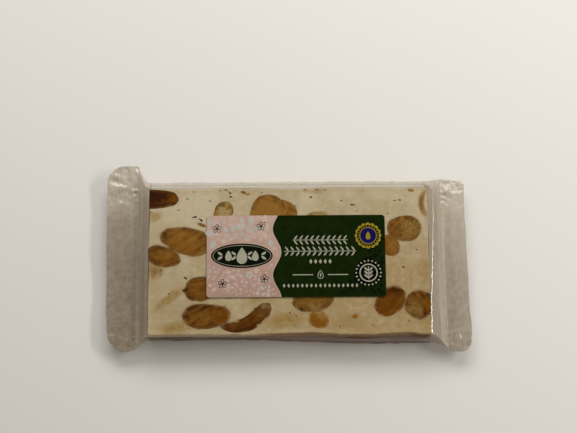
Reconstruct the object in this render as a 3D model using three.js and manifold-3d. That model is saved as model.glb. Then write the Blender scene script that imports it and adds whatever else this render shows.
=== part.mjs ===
// A bar of soft almond nougat in its clear flow-wrapped pack.
// The bar is a flat knife-cut slab. Whole and broken almonds lie in it, and each one that
// reaches a face is cut flush with that face. The clear film lies on the two broad faces and
// stands away from the bar all round its edge, where it runs out into a crimped seal at each
// end. A printed label lies on the top.
// Millimetres, +Z up, +X along the bar. The origin is under the middle of the pack's box.

import * as THREE from 'three';
import { mergeVertices } from 'three/addons/utils/BufferGeometryUtils.js';
import Module from 'manifold-3d';

const wasm = await Module();
wasm.setup();

// ---- driving dimensions ----------------------------------------------------------------

const BAR = { length: 126, width: 67, height: 12 };
const BAR_EDGE = 0.5;         // how far the slab's corners are rounded off
const BAR_WAVE = { depth: 0.22, turns: 2.5, shift: 1.7 };  // the knife's wander along each side
const BAR_STEPS = { long: 18, short: 8 };                   // straight stretches in each side
const FRONT_DENTS = [         // shallow dents in the front side: place along it, depth, half width
  { x: 10, depth: 1.3, spread: 17 },
  { x: 50, depth: 0.6, spread: 7 },
];
const GAP = 0.3;              // room between two pieces that touch

const LABEL = { length: 80, width: 37.2, thickness: 0.2, corner: 1.5, x: 3.2, y: 1.95 };

// The film round the bar. From "shoulder" outside the bar's top edge it falls outwards to the
// waist and the foot, and tucks in to the base: heights, and shares of the film's slack.
const FILM = {
  top: 12.15, base: 0.2, shoulder: 0.7,
  waist: { height: 6.8, out: 0.72 }, foot: { height: 1.6, out: 1 }, tuck: { out: 0.92 },
};
// The flat seal at each end: ridges across the pack, and a long wave and a curl of its ear.
const SEAL = {
  height: 6, thickness: 0.9, ridge: 0.16, pitch: 1.25, wave: 0.5, waveLength: 48, curl: [22, 42],
};
const GUSSET_STEPS = 4;
const BODY_STEPS = 8;

// The two ends of the pack. "slack" is how far the film stands off the bar's long side, "ear"
// how much further the flattened seal reaches out, over the stretch "rise" along the pack.
// "corner" holds the two radii of the seal's rounded corner, along and across the pack.
const LEFT_END = {
  direction: -1, gusset: 5, tip: 82.3, skew: 0.01,
  back: { slack: 5, ear: 6.6, rise: [63.2, 68.5], corner: [8, 9], lift: 1.6 },
  front: { slack: 0.3, ear: 6.3, rise: [55, 75], corner: [9.5, 11], lift: 0 },
};
const RIGHT_END = {
  direction: 1, gusset: 7, tip: 80.7, skew: 0.015,
  back: { slack: 5, ear: -0.8, rise: [70, 79], corner: [1.4, 1.6], lift: 0 },
  front: { slack: 2.6, ear: 4.6, rise: [60, 74], corner: [4.2, 6.5], lift: 0 },
};
const SLACK_RUN = [-30, 40];  // between these places the film's slack goes over from left to right

// The almonds that show on the top face: place of the middle, length and width, and the turn
// of the long axis in degrees, anticlockwise seen from above. "point" is how far the nut
// narrows towards the end that the turn points at, and "bend" is the radius of a curved one.
const TOP_ALMONDS = [
  { name: 'almond_back_left', x: -61.0, y: 28.6, length: 22.0, width: 9.0, turn: 0 },
  { name: 'almond_left_large', x: -46.6, y: 9.1, length: 24.2, width: 12.4, turn: -12, point: -0.16 },
  { name: 'almond_left_small', x: -56.2, y: 2.3, length: 16.0, width: 8.8, turn: -15 },
  { name: 'almond_label_left', x: -39.9, y: -12.7, length: 16.0, width: 11.2, turn: 4 },
  { name: 'almond_front_left', x: -36.6, y: -24.9, length: 22.0, width: 11.0, turn: 2, point: 0.1 },
  { name: 'almond_curved', x: -18, y: -28.2, length: 25.5, width: 6.6, depth: 4.2, turn: 24, bend: 16, point: -0.3 },
  { name: 'almond_half_round', x: -29.2, y: 22.6, length: 9.4, width: 8.4, turn: 78 },
  { name: 'almond_back_middle', x: -9.3, y: 22.6, length: 15.8, width: 15.2, turn: -20, point: -0.06 },
  { name: 'almond_back_lobe', x: -1.1, y: 22.3, length: 10.0, width: 9.0, turn: -30, point: 0.05 },
  { name: 'almond_label_back', x: 13.1, y: 16.1, length: 12.8, width: 12.4, turn: 0, point: 0 },
  { name: 'almond_right_large', x: 51.9, y: 14.3, length: 15.2, width: 12.1, turn: 4, point: -0.06 },
  { name: 'almond_label_right', x: 45.4, y: 6.4, length: 10.0, width: 8.8, turn: -60 },
  { name: 'almond_right_sliver', x: 59.9, y: 25.8, length: 12.6, width: 2.6, depth: 3, turn: 90, bend: -8.5 },
  { name: 'almond_front_right', x: 44.9, y: -18.8, length: 15.4, width: 11.6, turn: 38, point: -0.1 },
  { name: 'almond_right_corner', x: 57.9, y: -20.2, length: 13.4, width: 12.4, turn: 60, point: 0.05 },
  { name: 'almond_label_front', x: 10.5, y: -17.2, length: 18.4, width: 12.4, turn: 4, point: 0 },
  { name: 'almond_front_middle', x: 13.0, y: -26.6, length: 8.6, width: 7.6, turn: -20, point: 0 },
  { name: 'almond_chip_front', x: 29.1, y: -25.4, length: 3.6, width: 3.0, depth: 1.8, turn: 20, point: 0 },
];
const TOP_CUT = { depth: 5.2, point: 0.14, sides: 16, rows: 6 };

// Almonds that the knife cut through in the long sides: place along the bar, middle height.
const SIDE_ALMONDS = [
  { name: 'almond_side_front_right', side: -1, x: 58.2, z: 7.4, length: 9.6, width: 6.4 },
  { name: 'almond_side_front_left', side: -1, x: -50.5, z: 4.6, length: 15, width: 5.6 },
  { name: 'almond_side_front_middle', side: -1, x: 30.5, z: 4.4, length: 12, width: 5.2 },
  { name: 'almond_side_back_left', side: 1, x: -43, z: 6.2, length: 14, width: 6.2 },
  { name: 'almond_side_back_middle', side: 1, x: 17.5, z: 5.0, length: 17, width: 5.4 },
  { name: 'almond_side_back_right', side: 1, x: 45.5, z: 6.6, length: 11, width: 6.6 },
];
const SIDE_CUT = { depth: 4.4, point: 0.14, sides: 12, rows: 6 };

// Almonds in the underside are strewn by rule, and stop just above the table.
const BASE_CUT = { depth: 4.4, point: 0.14, sides: 12, rows: 6 };
const BASE = {
  count: 13, reach: [54, 25], length: [15, 22], slimness: [0.5, 0.62], spacing: 15.5,
  lift: 0.1, seed: 20, tries: 400,
};
const SINK = 0.4;             // an almond's widest part lies this far under the face that cuts it

const COLOURS = {
  nougat: 0xcdbf98, almond: 0x93642a, darkAlmond: 0x5a3213, cutAlmond: 0x9a7436,
  film: 0xcfc8b8, label: 0x24361a,
};
const DARK_ALMONDS = ['almond_back_left', 'almond_curved'];
const PALE_ALMONDS = ['almond_half_round', 'almond_label_front', 'almond_right_corner'];

// ---- helpers ---------------------------------------------------------------------------

const { lerp, smoothstep, degToRad } = THREE.MathUtils;

// A closed geometry as a solid that can be cut and joined.
function solid(geometry) {
  const bare = geometry.index ? geometry.toNonIndexed() : geometry.clone();
  for (const name of Object.keys(bare.attributes)) {
    if (name !== 'position') bare.deleteAttribute(name);
  }
  const merged = mergeVertices(bare, 1e-4);
  return new wasm.Manifold(new wasm.Mesh({
    numProp: 3,
    vertProperties: new Float32Array(merged.attributes.position.array),
    triVerts: new Uint32Array(merged.index.array),
  }));
}

// A solid back as a geometry with flat faces.
function geometryOf(body) {
  const { vertProperties, triVerts } = body.getMesh();
  const geometry = new THREE.BufferGeometry();
  geometry.setAttribute('position', new THREE.BufferAttribute(vertProperties, 3));
  geometry.setIndex(new THREE.BufferAttribute(triVerts, 1));
  const faceted = geometry.toNonIndexed();
  faceted.computeVertexNormals();
  return faceted;
}

// A run of even random numbers between 0 and 1 that is the same each time.
function randomRun(seed) {
  let state = seed;
  return () => {
    state = (state * 1664525 + 1013904223) % 2 ** 32;
    return state / 2 ** 32;
  };
}

function material(name, color, roughness, extra = {}) {
  return new THREE.MeshStandardMaterial({ name, color, roughness, metalness: 0, ...extra });
}

// ---- the slab --------------------------------------------------------------------------

function frontDent(x) {
  return FRONT_DENTS.reduce((sum, dent) => {
    return sum + dent.depth * Math.exp(-(((x - dent.x) / dent.spread) ** 2));
  }, 0);
}

// The slab's outline seen from above, grown by a margin. Each side is a little wavy.
function barOutline(margin) {
  const corners = [[-1, -1], [1, -1], [1, 1], [-1, 1]];
  const points = [];
  corners.forEach(([fromX, fromY], index) => {
    const [toX, toY] = corners[(index + 1) % corners.length];
    const longSide = fromY === toY;
    const steps = longSide ? BAR_STEPS.long : BAR_STEPS.short;
    for (let step = 0; step < steps; step += 1) {
      const share = step / steps;
      const swing = Math.sin(2 * Math.PI * BAR_WAVE.turns * share + BAR_WAVE.shift * index);
      const wave = BAR_WAVE.depth * Math.sin(Math.PI * share) * swing;
      const x = lerp(fromX, toX, share) * (BAR.length / 2 + margin);
      const y = lerp(fromY, toY, share) * (BAR.width / 2 + margin);
      const inward = longSide && y < 0 ? frontDent(x) : 0;
      points.push(new THREE.Vector2(x + (longSide ? 0 : wave), y + (longSide ? wave : 0) + inward));
    }
  });
  return new THREE.Shape(points);
}

function barBlank() {
  const geometry = new THREE.ExtrudeGeometry(barOutline(-BAR_EDGE), {
    depth: BAR.height - 2 * BAR_EDGE,
    bevelThickness: BAR_EDGE,
    bevelSize: BAR_EDGE,
    bevelSegments: 2,
  });
  return solid(geometry.translate(0, 0, BAR_EDGE));
}

// The room inside the wrap, open above and below.
function barRoom() {
  const geometry = new THREE.ExtrudeGeometry(barOutline(GAP), { depth: 3 * BAR.height, bevelEnabled: false });
  return solid(geometry.translate(0, 0, -BAR.height));
}

// ---- almonds ---------------------------------------------------------------------------

// An almond lying along x: a ball drawn out to the nut's half sizes and narrower towards +x.
// A bent one has its long axis rolled round an arc. "grow" makes the pocket that it lies in.
function almondForm({ length, width, depth, point, bend, sides, rows }, grow) {
  const geometry = new THREE.SphereGeometry(1, sides, rows);
  geometry.rotateX(Math.PI / 2);
  const position = geometry.attributes.position;
  for (let index = 0; index < position.count; index += 1) {
    const along = position.getX(index);
    let x = along * (length / 2 + grow);
    let y = position.getY(index) * (width / 2 + grow) * (1 - point * along);
    if (bend) {
      const angle = x / bend;
      const radius = bend - y;
      x = radius * Math.sin(angle);
      y = bend - radius * Math.cos(angle);
    }
    position.setXYZ(index, x, y, position.getZ(index) * (depth + grow));
  }
  return geometry;
}

function topAlmond(row, grow) {
  const form = almondForm({ ...TOP_CUT, ...row }, grow).rotateZ(degToRad(row.turn));
  return solid(form.translate(row.x, row.y, BAR.height - SINK));
}

function sideAlmond(row, grow) {
  const form = almondForm({ ...SIDE_CUT, ...row }, grow).rotateX(Math.PI / 2);
  return solid(form.translate(row.x, row.side * (BAR.width / 2 - SINK), row.z));
}

function baseAlmond(row, grow) {
  const form = almondForm({ ...BASE_CUT, ...row }, grow).rotateZ(degToRad(row.turn));
  return solid(form.translate(row.x, row.y, SINK));
}

// Places in the underside: drawn at random, and kept where no other almond is near.
function strewnBase() {
  const random = randomRun(BASE.seed);
  const rows = [];
  for (let attempt = 0; attempt < BASE.tries && rows.length < BASE.count; attempt += 1) {
    const x = lerp(-BASE.reach[0], BASE.reach[0], random());
    const y = lerp(-BASE.reach[1], BASE.reach[1], random());
    const length = lerp(...BASE.length, random());
    const width = length * lerp(...BASE.slimness, random());
    const turn = 180 * random();
    if (rows.some((other) => Math.hypot(other.x - x, other.y - y) < BASE.spacing)) continue;
    rows.push({ name: `almond_base_${String(rows.length + 1).padStart(2, '0')}`, x, y, length, width, turn });
  }
  return rows;
}

// Sets the almonds into the slab one by one. Each is cut off by the slab's own faces and by
// the pockets of the almonds before it, so that neighbours butt against each other.
function setAlmonds(blank) {
  const above = new THREE.BoxGeometry(2 * BAR.length, 2 * BAR.width, 2 * BAR.height);
  const clearOfTable = solid(above.translate(0, 0, BAR.height + BASE.lift));
  const slab = blank.intersect(clearOfTable);
  const places = [
    ...TOP_ALMONDS.map((row) => ({ row, shape: topAlmond })),
    ...SIDE_ALMONDS.map((row) => ({ row, shape: sideAlmond })),
    ...strewnBase().map((row) => ({ row, shape: baseAlmond })),
  ];
  const almonds = [];
  let bar = blank;
  let pockets = null;
  for (const { row, shape } of places) {
    const whole = shape(row, 0).intersect(slab);
    const pocket = shape(row, GAP);
    almonds.push({ name: row.name, body: pockets ? whole.subtract(pockets) : whole });
    pockets = pockets ? pockets.add(pocket) : pocket;
    bar = bar.subtract(pocket);
  }
  return { bar, almonds };
}

// ---- the wrap --------------------------------------------------------------------------

// How far the film reaches from the pack's middle line, on one side of one end.
function sealReach(end, side, distance) {
  const [along, across] = side.corner;
  const into = THREE.MathUtils.clamp((distance - (end.tip - along)) / along, 0, 1);
  const rounding = across * (1 - Math.sqrt(1 - into * into));
  return BAR.width / 2 + side.slack + side.ear * smoothstep(distance, ...side.rise) - rounding;
}

function bodySlack(x, sideName) {
  return lerp(LEFT_END[sideName].slack, RIGHT_END[sideName].slack, smoothstep(x, ...SLACK_RUN));
}

const COLUMNS = 9;            // points across each of the film's two plies

// A ring of points round the pack, as [y, z] pairs: up the front edge, along the upper ply to
// the back, down the back edge, and along the lower ply to the front.
function ring({ upper, lower, backEdge, frontEdge, top, base }) {
  const across = (from, to, z) => Array.from({ length: COLUMNS }, (_, index) => {
    return [lerp(from, to, index / (COLUMNS - 1)), z];
  });
  const [frontLow, frontHigh] = frontEdge;
  return [frontHigh, ...across(...upper, top), ...backEdge, ...across(...lower, base), frontLow];
}

function bodyRing(x) {
  const shoulder = BAR.width / 2 + FILM.shoulder;
  const onSide = (sign, slack) => ({ out }) => {
    return sign * Math.max(shoulder, lerp(shoulder, BAR.width / 2 + slack, out));
  };
  const back = onSide(1, bodySlack(x, 'back'));
  const front = onSide(-1, bodySlack(x, 'front'));
  const { waist, foot, tuck } = FILM;
  return ring({
    upper: [-shoulder, shoulder],
    lower: [back(tuck), front(tuck)],
    backEdge: [[back(waist), waist.height], [back(foot), foot.height]],
    frontEdge: [[front(foot), foot.height], [front(waist), waist.height]],
    top: FILM.top,
    base: FILM.base,
  });
}

function sealRing(end, distance) {
  const rim = SEAL.thickness / 2;
  const back = sealReach(end, end.back, distance);
  const front = -sealReach(end, end.front, distance);
  return ring({
    upper: [front + rim, back - rim],
    lower: [back - rim, front + rim],
    backEdge: [[back, SEAL.height + rim / 3], [back, SEAL.height - rim / 3]],
    frontEdge: [[front, SEAL.height - rim / 3], [front, SEAL.height + rim / 3]],
    top: SEAL.height + rim,
    base: SEAL.height - rim,
  });
}

// One ring of an end, between the bar's end, where it has the body's form, and the flat seal.
function endRing(end, distance, ridge) {
  const flat = THREE.MathUtils.clamp((distance - BAR.length / 2) / end.gusset, 0, 1);
  const body = bodyRing(end.direction * BAR.length / 2);
  const seal = sealRing(end, distance);
  return body.map(([bodyY, bodyZ], index) => {
    const y = lerp(bodyY, seal[index][0], flat);
    const lift = y > 0 ? end.back.lift : end.front.lift;
    const curl = lift * smoothstep(Math.abs(y), ...SEAL.curl);
    const wave = SEAL.wave * Math.sin((2 * Math.PI * y) / SEAL.waveLength);
    const z = lerp(bodyZ, seal[index][1] + curl + wave + ridge, flat);
    return [end.direction * distance - flat * end.skew * y, y, z];
  });
}

function endRings(end) {
  const rings = [];
  const start = BAR.length / 2 + GAP;
  const crimp = BAR.length / 2 + end.gusset;
  for (let step = 0; step < GUSSET_STEPS; step += 1) {
    rings.push(endRing(end, lerp(start, crimp, step / GUSSET_STEPS), 0));
  }
  const ridges = Math.round((2 * (end.tip - crimp)) / SEAL.pitch);
  for (let step = 0; step <= ridges; step += 1) {
    const ridge = step % 2 ? SEAL.ridge : -SEAL.ridge;
    rings.push(endRing(end, lerp(crimp, end.tip, step / ridges), ridge));
  }
  return rings;
}

// A closed solid through a row of rings, which run from -x to +x.
function loft(rings) {
  const size = rings[0].length;
  const index = [];
  for (let row = 0; row + 1 < rings.length; row += 1) {
    for (let step = 0; step < size; step += 1) {
      const here = row * size + step;
      const next = row * size + ((step + 1) % size);
      index.push(here, here + size, next, next, here + size, next + size);
    }
  }
  // An end ring is closed by a strip of triangles between its upper and its lower half.
  const cap = (row, facesBack) => {
    for (let upper = 0; upper + 1 < size / 2; upper += 1) {
      const lower = size - 1 - upper;
      for (const [a, b, c] of [[upper, upper + 1, lower - 1], [upper, lower - 1, lower]]) {
        index.push(...(facesBack ? [a, b, c] : [a, c, b]).map((point) => row * size + point));
      }
    }
  };
  cap(0, true);
  cap(rings.length - 1, false);
  const geometry = new THREE.BufferGeometry();
  geometry.setAttribute('position', new THREE.Float32BufferAttribute(rings.flat(2), 3));
  geometry.setIndex(index);
  return solid(geometry);
}

function wrap() {
  const body = [];
  for (let step = 1; step < BODY_STEPS; step += 1) {
    const x = lerp(-BAR.length / 2, BAR.length / 2, step / BODY_STEPS);
    body.push(bodyRing(x).map(([y, z]) => [x, y, z]));
  }
  return loft([...endRings(LEFT_END).reverse(), ...body, ...endRings(RIGHT_END)]).subtract(barRoom());
}

// ---- the label -------------------------------------------------------------------------

function label() {
  const { length, width, thickness, corner } = LABEL;
  const shape = new THREE.Shape();
  const middles = [[1, -1], [1, 1], [-1, 1], [-1, -1]];
  middles.forEach(([x, y], index) => {
    const start = (index - 1) * (Math.PI / 2);
    shape.absarc(x * (length / 2 - corner), y * (width / 2 - corner), corner, start, start + Math.PI / 2);
  });
  const options = { depth: thickness, bevelEnabled: false, curveSegments: 5 };
  return new THREE.ExtrudeGeometry(shape, options).translate(LABEL.x, LABEL.y, BAR.height + GAP);
}

// ---- the pack --------------------------------------------------------------------------

const materials = {
  nougat: material('nougat', COLOURS.nougat, 0.6),
  almond: material('almond', COLOURS.almond, 0.45),
  darkAlmond: material('almond_dark', COLOURS.darkAlmond, 0.45),
  cutAlmond: material('almond_cut', COLOURS.cutAlmond, 0.6),
  film: material('film', COLOURS.film, 0.15, { transparent: true, opacity: 0.45 }),
  label: material('label', COLOURS.label, 0.5),
};

function almondMaterial(name) {
  if (DARK_ALMONDS.includes(name)) return materials.darkAlmond;
  return PALE_ALMONDS.includes(name) ? materials.cutAlmond : materials.almond;
}

const pack = new THREE.Group();

function place(name, geometry, finish) {
  const mesh = new THREE.Mesh(geometry, finish);
  mesh.name = name;
  pack.add(mesh);
}

const { bar, almonds } = setAlmonds(barBlank());
place('nougat', geometryOf(bar), materials.nougat);
for (const { name, body } of almonds) {
  place(name, geometryOf(body), almondMaterial(name));
}
place('wrap', geometryOf(wrap()), materials.film);
place('label', label(), materials.label);

const middle = new THREE.Box3().setFromObject(pack).getCenter(new THREE.Vector3());
pack.position.set(-middle.x, -middle.y, 0);

export default pack;
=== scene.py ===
# %% [markdown]
# # A nougat bar in its clear pack
# The real object is a flat bar of soft almond nougat, sealed in a tube of clear film that is
# pressed flat and crimped at both ends, with a printed sticker on the top. This lesson builds
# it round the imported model: the slab with its holes, the cut almonds, the film and the label.
# Lengths are in millimetres until a mesh is made, because that is how a confectioner thinks.

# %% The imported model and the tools
import math

import bmesh
import bpy
import numpy as np
from mathutils import Euler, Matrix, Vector


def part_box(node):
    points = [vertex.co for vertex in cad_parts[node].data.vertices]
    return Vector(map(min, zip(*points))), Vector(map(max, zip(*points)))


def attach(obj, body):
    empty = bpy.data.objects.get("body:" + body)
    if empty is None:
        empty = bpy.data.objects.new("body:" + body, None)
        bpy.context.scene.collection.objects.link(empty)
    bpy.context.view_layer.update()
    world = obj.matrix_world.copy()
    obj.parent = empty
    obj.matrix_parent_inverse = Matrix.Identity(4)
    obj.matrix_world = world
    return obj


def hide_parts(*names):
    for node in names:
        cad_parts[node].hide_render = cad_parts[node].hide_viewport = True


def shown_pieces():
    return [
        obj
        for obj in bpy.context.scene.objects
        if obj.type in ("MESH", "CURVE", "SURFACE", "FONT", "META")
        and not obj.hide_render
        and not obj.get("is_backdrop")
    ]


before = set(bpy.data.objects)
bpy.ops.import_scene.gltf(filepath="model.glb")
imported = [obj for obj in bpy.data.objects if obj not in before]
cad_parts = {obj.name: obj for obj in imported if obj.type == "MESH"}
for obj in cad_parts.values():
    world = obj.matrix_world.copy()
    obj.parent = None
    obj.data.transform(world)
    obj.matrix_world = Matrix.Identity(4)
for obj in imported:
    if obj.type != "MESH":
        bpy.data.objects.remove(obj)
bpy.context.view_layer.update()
MM = 0.001
print("nodes in the packed model:", len(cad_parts))

# %% [markdown]
# ## Where things are measured from
# Everything on a bar is laid out from the middle of the slab, so the lesson does that too. The
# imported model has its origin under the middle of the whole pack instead. The label's plate is
# a true rectangle and its place on the slab is known, so its box gives the slab's middle.

# %% The slab's middle
LABEL_PLACE = Vector((3.2, 1.95, 0))
label_low, label_high = (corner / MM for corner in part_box("label"))
MIDDLE = (label_low + label_high) / 2 - LABEL_PLACE
MIDDLE.z = 0
print("the slab's middle is at", [round(number, 2) for number in MIDDLE], "mm")

# %% [markdown]
# ## The camera
# The pack lies on a table and is seen from almost straight above, a little from the front, so
# that a thin strip of its front side shows. A long lens at more than half a metre keeps the
# two ends equally large. The camera stands at a fixed place above the middle of the top face.

# %% Camera
BAR = {"length": 126.0, "width": 67.0, "height": 12.0, "edge": 0.5, "corner": 1.0, "base": 0.14}
CAMERA = {"from_top": Vector((-0.9, -104.9, 564.1)), "tilt": 12.495, "turn": -0.397, "lens": 80}

lens = bpy.data.cameras.new("camera")
lens.lens = CAMERA["lens"]
lens.sensor_width = 36
lens.clip_start = 0.01
lens.clip_end = 20
camera = bpy.data.objects.new("camera", lens)
camera.location = (MIDDLE + Vector((0, 0, BAR["height"])) + CAMERA["from_top"]) * MM
camera.rotation_euler = Euler((math.radians(CAMERA["tilt"]), 0, math.radians(CAMERA["turn"])))
bpy.context.scene.collection.objects.link(camera)
bpy.context.scene.camera = camera
print("camera at", [round(number, 3) for number in camera.location], "m")

# %% [markdown]
# ## Light and floor
# The light is a plain studio set: one large soft lamp above and behind, as a window would be,
# a long narrow one at the right that draws a bright line along folds of the film, and a weak
# even sky. Colours stay as they are mixed, with no film look on top, so the view is Standard.

# %% Lights
def tone(red, green, blue):
    """A screen colour from 0 to 255 as the linear colour that a shader takes."""
    shares = np.array([red, green, blue]) / 255
    linear = np.where(shares <= 0.04045, shares / 12.92, ((shares + 0.055) / 1.055) ** 2.4)
    return (*linear.tolist(), 1.0)


def soft_lamp(name, place, size, watts, colour):
    """A rectangular lamp at a place, in millimetres from the slab's middle, that faces the middle."""
    lamp = bpy.data.lights.new(name, "AREA")
    lamp.shape = "RECTANGLE"
    lamp.size, lamp.size_y = (side * MM for side in size)
    lamp.energy = watts
    lamp.color = colour
    holder = bpy.data.objects.new(name, lamp)
    holder.location = (MIDDLE + Vector(place)) * MM
    holder.rotation_euler = Vector(place).to_track_quat("Z", "Y").to_euler()
    bpy.context.scene.collection.objects.link(holder)


soft_lamp("window", (-20, 660, 580), (840, 400), 5.5, (1.0, 0.985, 0.96))
soft_lamp("fold_light", (560, 120, 520), (420, 70), 2.1, (1.0, 0.98, 0.95))

sky = bpy.data.worlds.new("studio")
sky.use_nodes = True
sky.node_tree.nodes["Background"].inputs["Color"].default_value = (1.0, 0.92, 0.82, 1)
sky.node_tree.nodes["Background"].inputs["Strength"].default_value = 0.24
bpy.context.scene.world = sky
bpy.context.scene.view_settings.view_transform = "Standard"
bpy.context.scene.view_settings.look = "None"

# %% [markdown]
# ## Small helpers for shaders
# Every finish below is a Principled shader that gets its colour, roughness and bump from a few
# nodes. Writing out every node and link would take pages, so a few helpers keep them short: they
# add a node, mix two colours, add or multiply two values, stretch a value, read what a mesh
# keeps for its points, and make soft noise. Noise sizes are in millimetres of the real thing.

# %% Shader helpers
def new_finish(name, roughness, **sockets):
    """An empty material with one Principled shader. Returns the material, its tree and the shader."""
    finish = bpy.data.materials.new(name)
    finish.use_nodes = True
    shader = finish.node_tree.nodes["Principled BSDF"]
    shader.inputs["Roughness"].default_value = roughness
    for socket, value in sockets.items():
        shader.inputs[socket.replace("_", " ")].default_value = value
    return finish, finish.node_tree, shader


def feed(tree, socket, value):
    """Sets an input to a value, or links it to another node's output."""
    if isinstance(value, bpy.types.NodeSocket):
        tree.links.new(value, socket)
    else:
        socket.default_value = value


def add_node(tree, kind, **inputs):
    """A new node. Its inputs are given by name, with _ for a space."""
    node = tree.nodes.new(kind)
    for name, value in inputs.items():
        feed(tree, node.inputs[name.replace("_", " ")], value)
    return node


def blend_colours(tree, share, first, second):
    """A mix of two colours, each given as a colour or as another node's output."""
    mix = tree.nodes.new("ShaderNodeMix")
    mix.data_type = "RGBA"
    for number, value in ((0, share), (6, first), (7, second)):
        feed(tree, mix.inputs[number], value)
    return mix.outputs[2]


def combine(tree, how, first, second, clamp=True):
    """Two values added or multiplied, as how says, and held between 0 and 1 by clamp."""
    node = tree.nodes.new("ShaderNodeMath")
    node.operation = how
    node.use_clamp = clamp
    feed(tree, node.inputs[0], first)
    feed(tree, node.inputs[1], second)
    return node.outputs[0]


def remap(tree, value, low, high, to_low=0.0, to_high=1.0):
    """A value's range from low to high, moved to a new range and held inside it."""
    node = add_node(tree, "ShaderNodeMapRange", Value=value, From_Min=low, From_Max=high,
                    To_Min=to_low, To_Max=to_high)
    return node.outputs["Result"]


def stored(tree, name):
    """The outputs of what a mesh keeps under a name for each of its points."""
    node = tree.nodes.new("ShaderNodeAttribute")
    node.attribute_name = name
    return node.outputs


def own_space(tree, squeeze=(1, 1, 1), turn=0):
    """The object's own coordinates in millimetres, turned in plan and squeezed for streaks."""
    place = tree.nodes.new("ShaderNodeTexCoord").outputs["Object"]
    if turn:
        turned_space = add_node(tree, "ShaderNodeMapping", Vector=place, Rotation=(0, 0, math.radians(-turn)))
        place = turned_space.outputs["Vector"]
    scale = [share / MM for share in squeeze]
    return add_node(tree, "ShaderNodeMapping", Vector=place, Scale=scale).outputs["Vector"]


def noise(tree, space, size, detail=2.0, roughness=0.5):
    """Soft noise from 0 to 1, with spots about as large as the size says."""
    node = add_node(tree, "ShaderNodeTexNoise", Vector=space, Scale=1 / size, Detail=detail,
                    Roughness=roughness)
    return node.outputs["Fac"]


def bump(tree, shader, height, depth):
    """Small relief that is too fine for the mesh, as deep as given in millimetres."""
    node = add_node(tree, "ShaderNodeBump", Height=height, Distance=depth * MM)
    tree.links.new(node.outputs["Normal"], shader.inputs["Normal"])


# %% [markdown]
# ## The floor
# The pack lies on a pale table. The floor is one large sheet just under the film.

# %% Floor
FLOOR = {"reach": 2500.0, "drop": 0.05, "patches": 260.0}


def object_of(name, points, faces, finish):
    """A mesh object from points in millimetres round the slab's middle, and its faces."""
    mesh = bpy.data.meshes.new(name)
    mesh.from_pydata((np.asarray(points, float) + np.array(MIDDLE)) * MM, [], faces)
    mesh.materials.append(finish)
    mesh.update()
    thing = bpy.data.objects.new(name, mesh)
    bpy.context.scene.collection.objects.link(thing)
    return thing


def pale_table():
    finish, tree, shader = new_finish("pale_table", 0.6)
    patches = noise(tree, own_space(tree), FLOOR["patches"], detail=3)
    tree.links.new(blend_colours(tree, patches, tone(226, 224, 220), tone(232, 230, 226)),
                   shader.inputs["Base Color"])
    return finish


reach = FLOOR["reach"]
corners = [(x * reach, y * reach, -FLOOR["drop"]) for x, y in ((-1, -1), (1, -1), (1, 1), (-1, 1))]
floor = object_of("floor", corners, [(0, 1, 2, 3)], pale_table())
floor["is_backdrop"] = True
print("floor", 2 * reach * MM, "m wide")

# %% [markdown]
# ## Uneven things
# Food has no flat faces. Its hills and hollows come from soft noise that is worked out in plain
# numbers: random heights on a lattice with smooth slopes between them. The same function serves
# the slab, the nuts and the film, each with a lattice size of its own and a seed of its own, so
# that the result is the same each time.

# %% Soft hills and smooth steps
LATTICE = 61


def hills(a, b, size, seed):
    """Soft random heights between -1 and 1 at the points (a, b), with hills about size apart."""
    heights = np.random.default_rng(seed).uniform(-1, 1, (LATTICE, LATTICE))
    a, b = np.broadcast_arrays(np.asarray(a, float) / size, np.asarray(b, float) / size)
    column, row = np.floor(a).astype(int), np.floor(b).astype(int)
    s, t = a - column, b - row
    s, t = s * s * (3 - 2 * s), t * t * (3 - 2 * t)

    def at(right, up):
        return heights[(column + right) % LATTICE, (row + up) % LATTICE]

    near = at(0, 0) * (1 - s) + at(1, 0) * s
    far = at(0, 1) * (1 - s) + at(1, 1) * s
    return near * (1 - t) + far * t


def smooth_step(value, start, end):
    """0 up to the start, 1 from the end on, and a smooth rise between them."""
    share = np.clip((np.asarray(value, float) - start) / (end - start), 0, 1)
    return share * share * (3 - 2 * share)


# %% [markdown]
# ## The slab
# Real nougat of this kind is cooked, pressed flat in a frame and cut with a long knife. So the
# top is nearly flat, the sides carry the knife's fine drag lines, the corners are crisp, and
# the sides wander a little. A single box with modifiers would hide where each of these goes.
# Here the skin is laid out on purpose: a grid for the top, rings down the sides and a grid for
# the underside, all sharing their borders, so that it is one closed body ready for cutting.

# %% The slab's outline
GRID = 0.65
HALF_X, HALF_Y = BAR["length"] / 2, BAR["width"] / 2
KNIFE_WANDER = {"depth": 0.22, "turns": 2.5, "shift": 1.7}
FRONT_DENTS = [(12, 0.65, 11), (50, 0.35, 6), (36, -0.42, 8), (61, -0.3, 4)]   # place, depth, half width
NICKS = {"depth": 0.35, "size": 5.0, "from": 9.0}     # small breaks along the front top edge
EDGE_ONLY = 6                                         # how fast the knife's strays fade inwards


def wander(side, share):
    """How far the knife strayed, on side 0 front, 1 right, 2 back or 3 left."""
    swing = np.sin(2 * np.pi * KNIFE_WANDER["turns"] * share + KNIFE_WANDER["shift"] * side)
    return KNIFE_WANDER["depth"] * np.sin(np.pi * share) * swing


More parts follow.
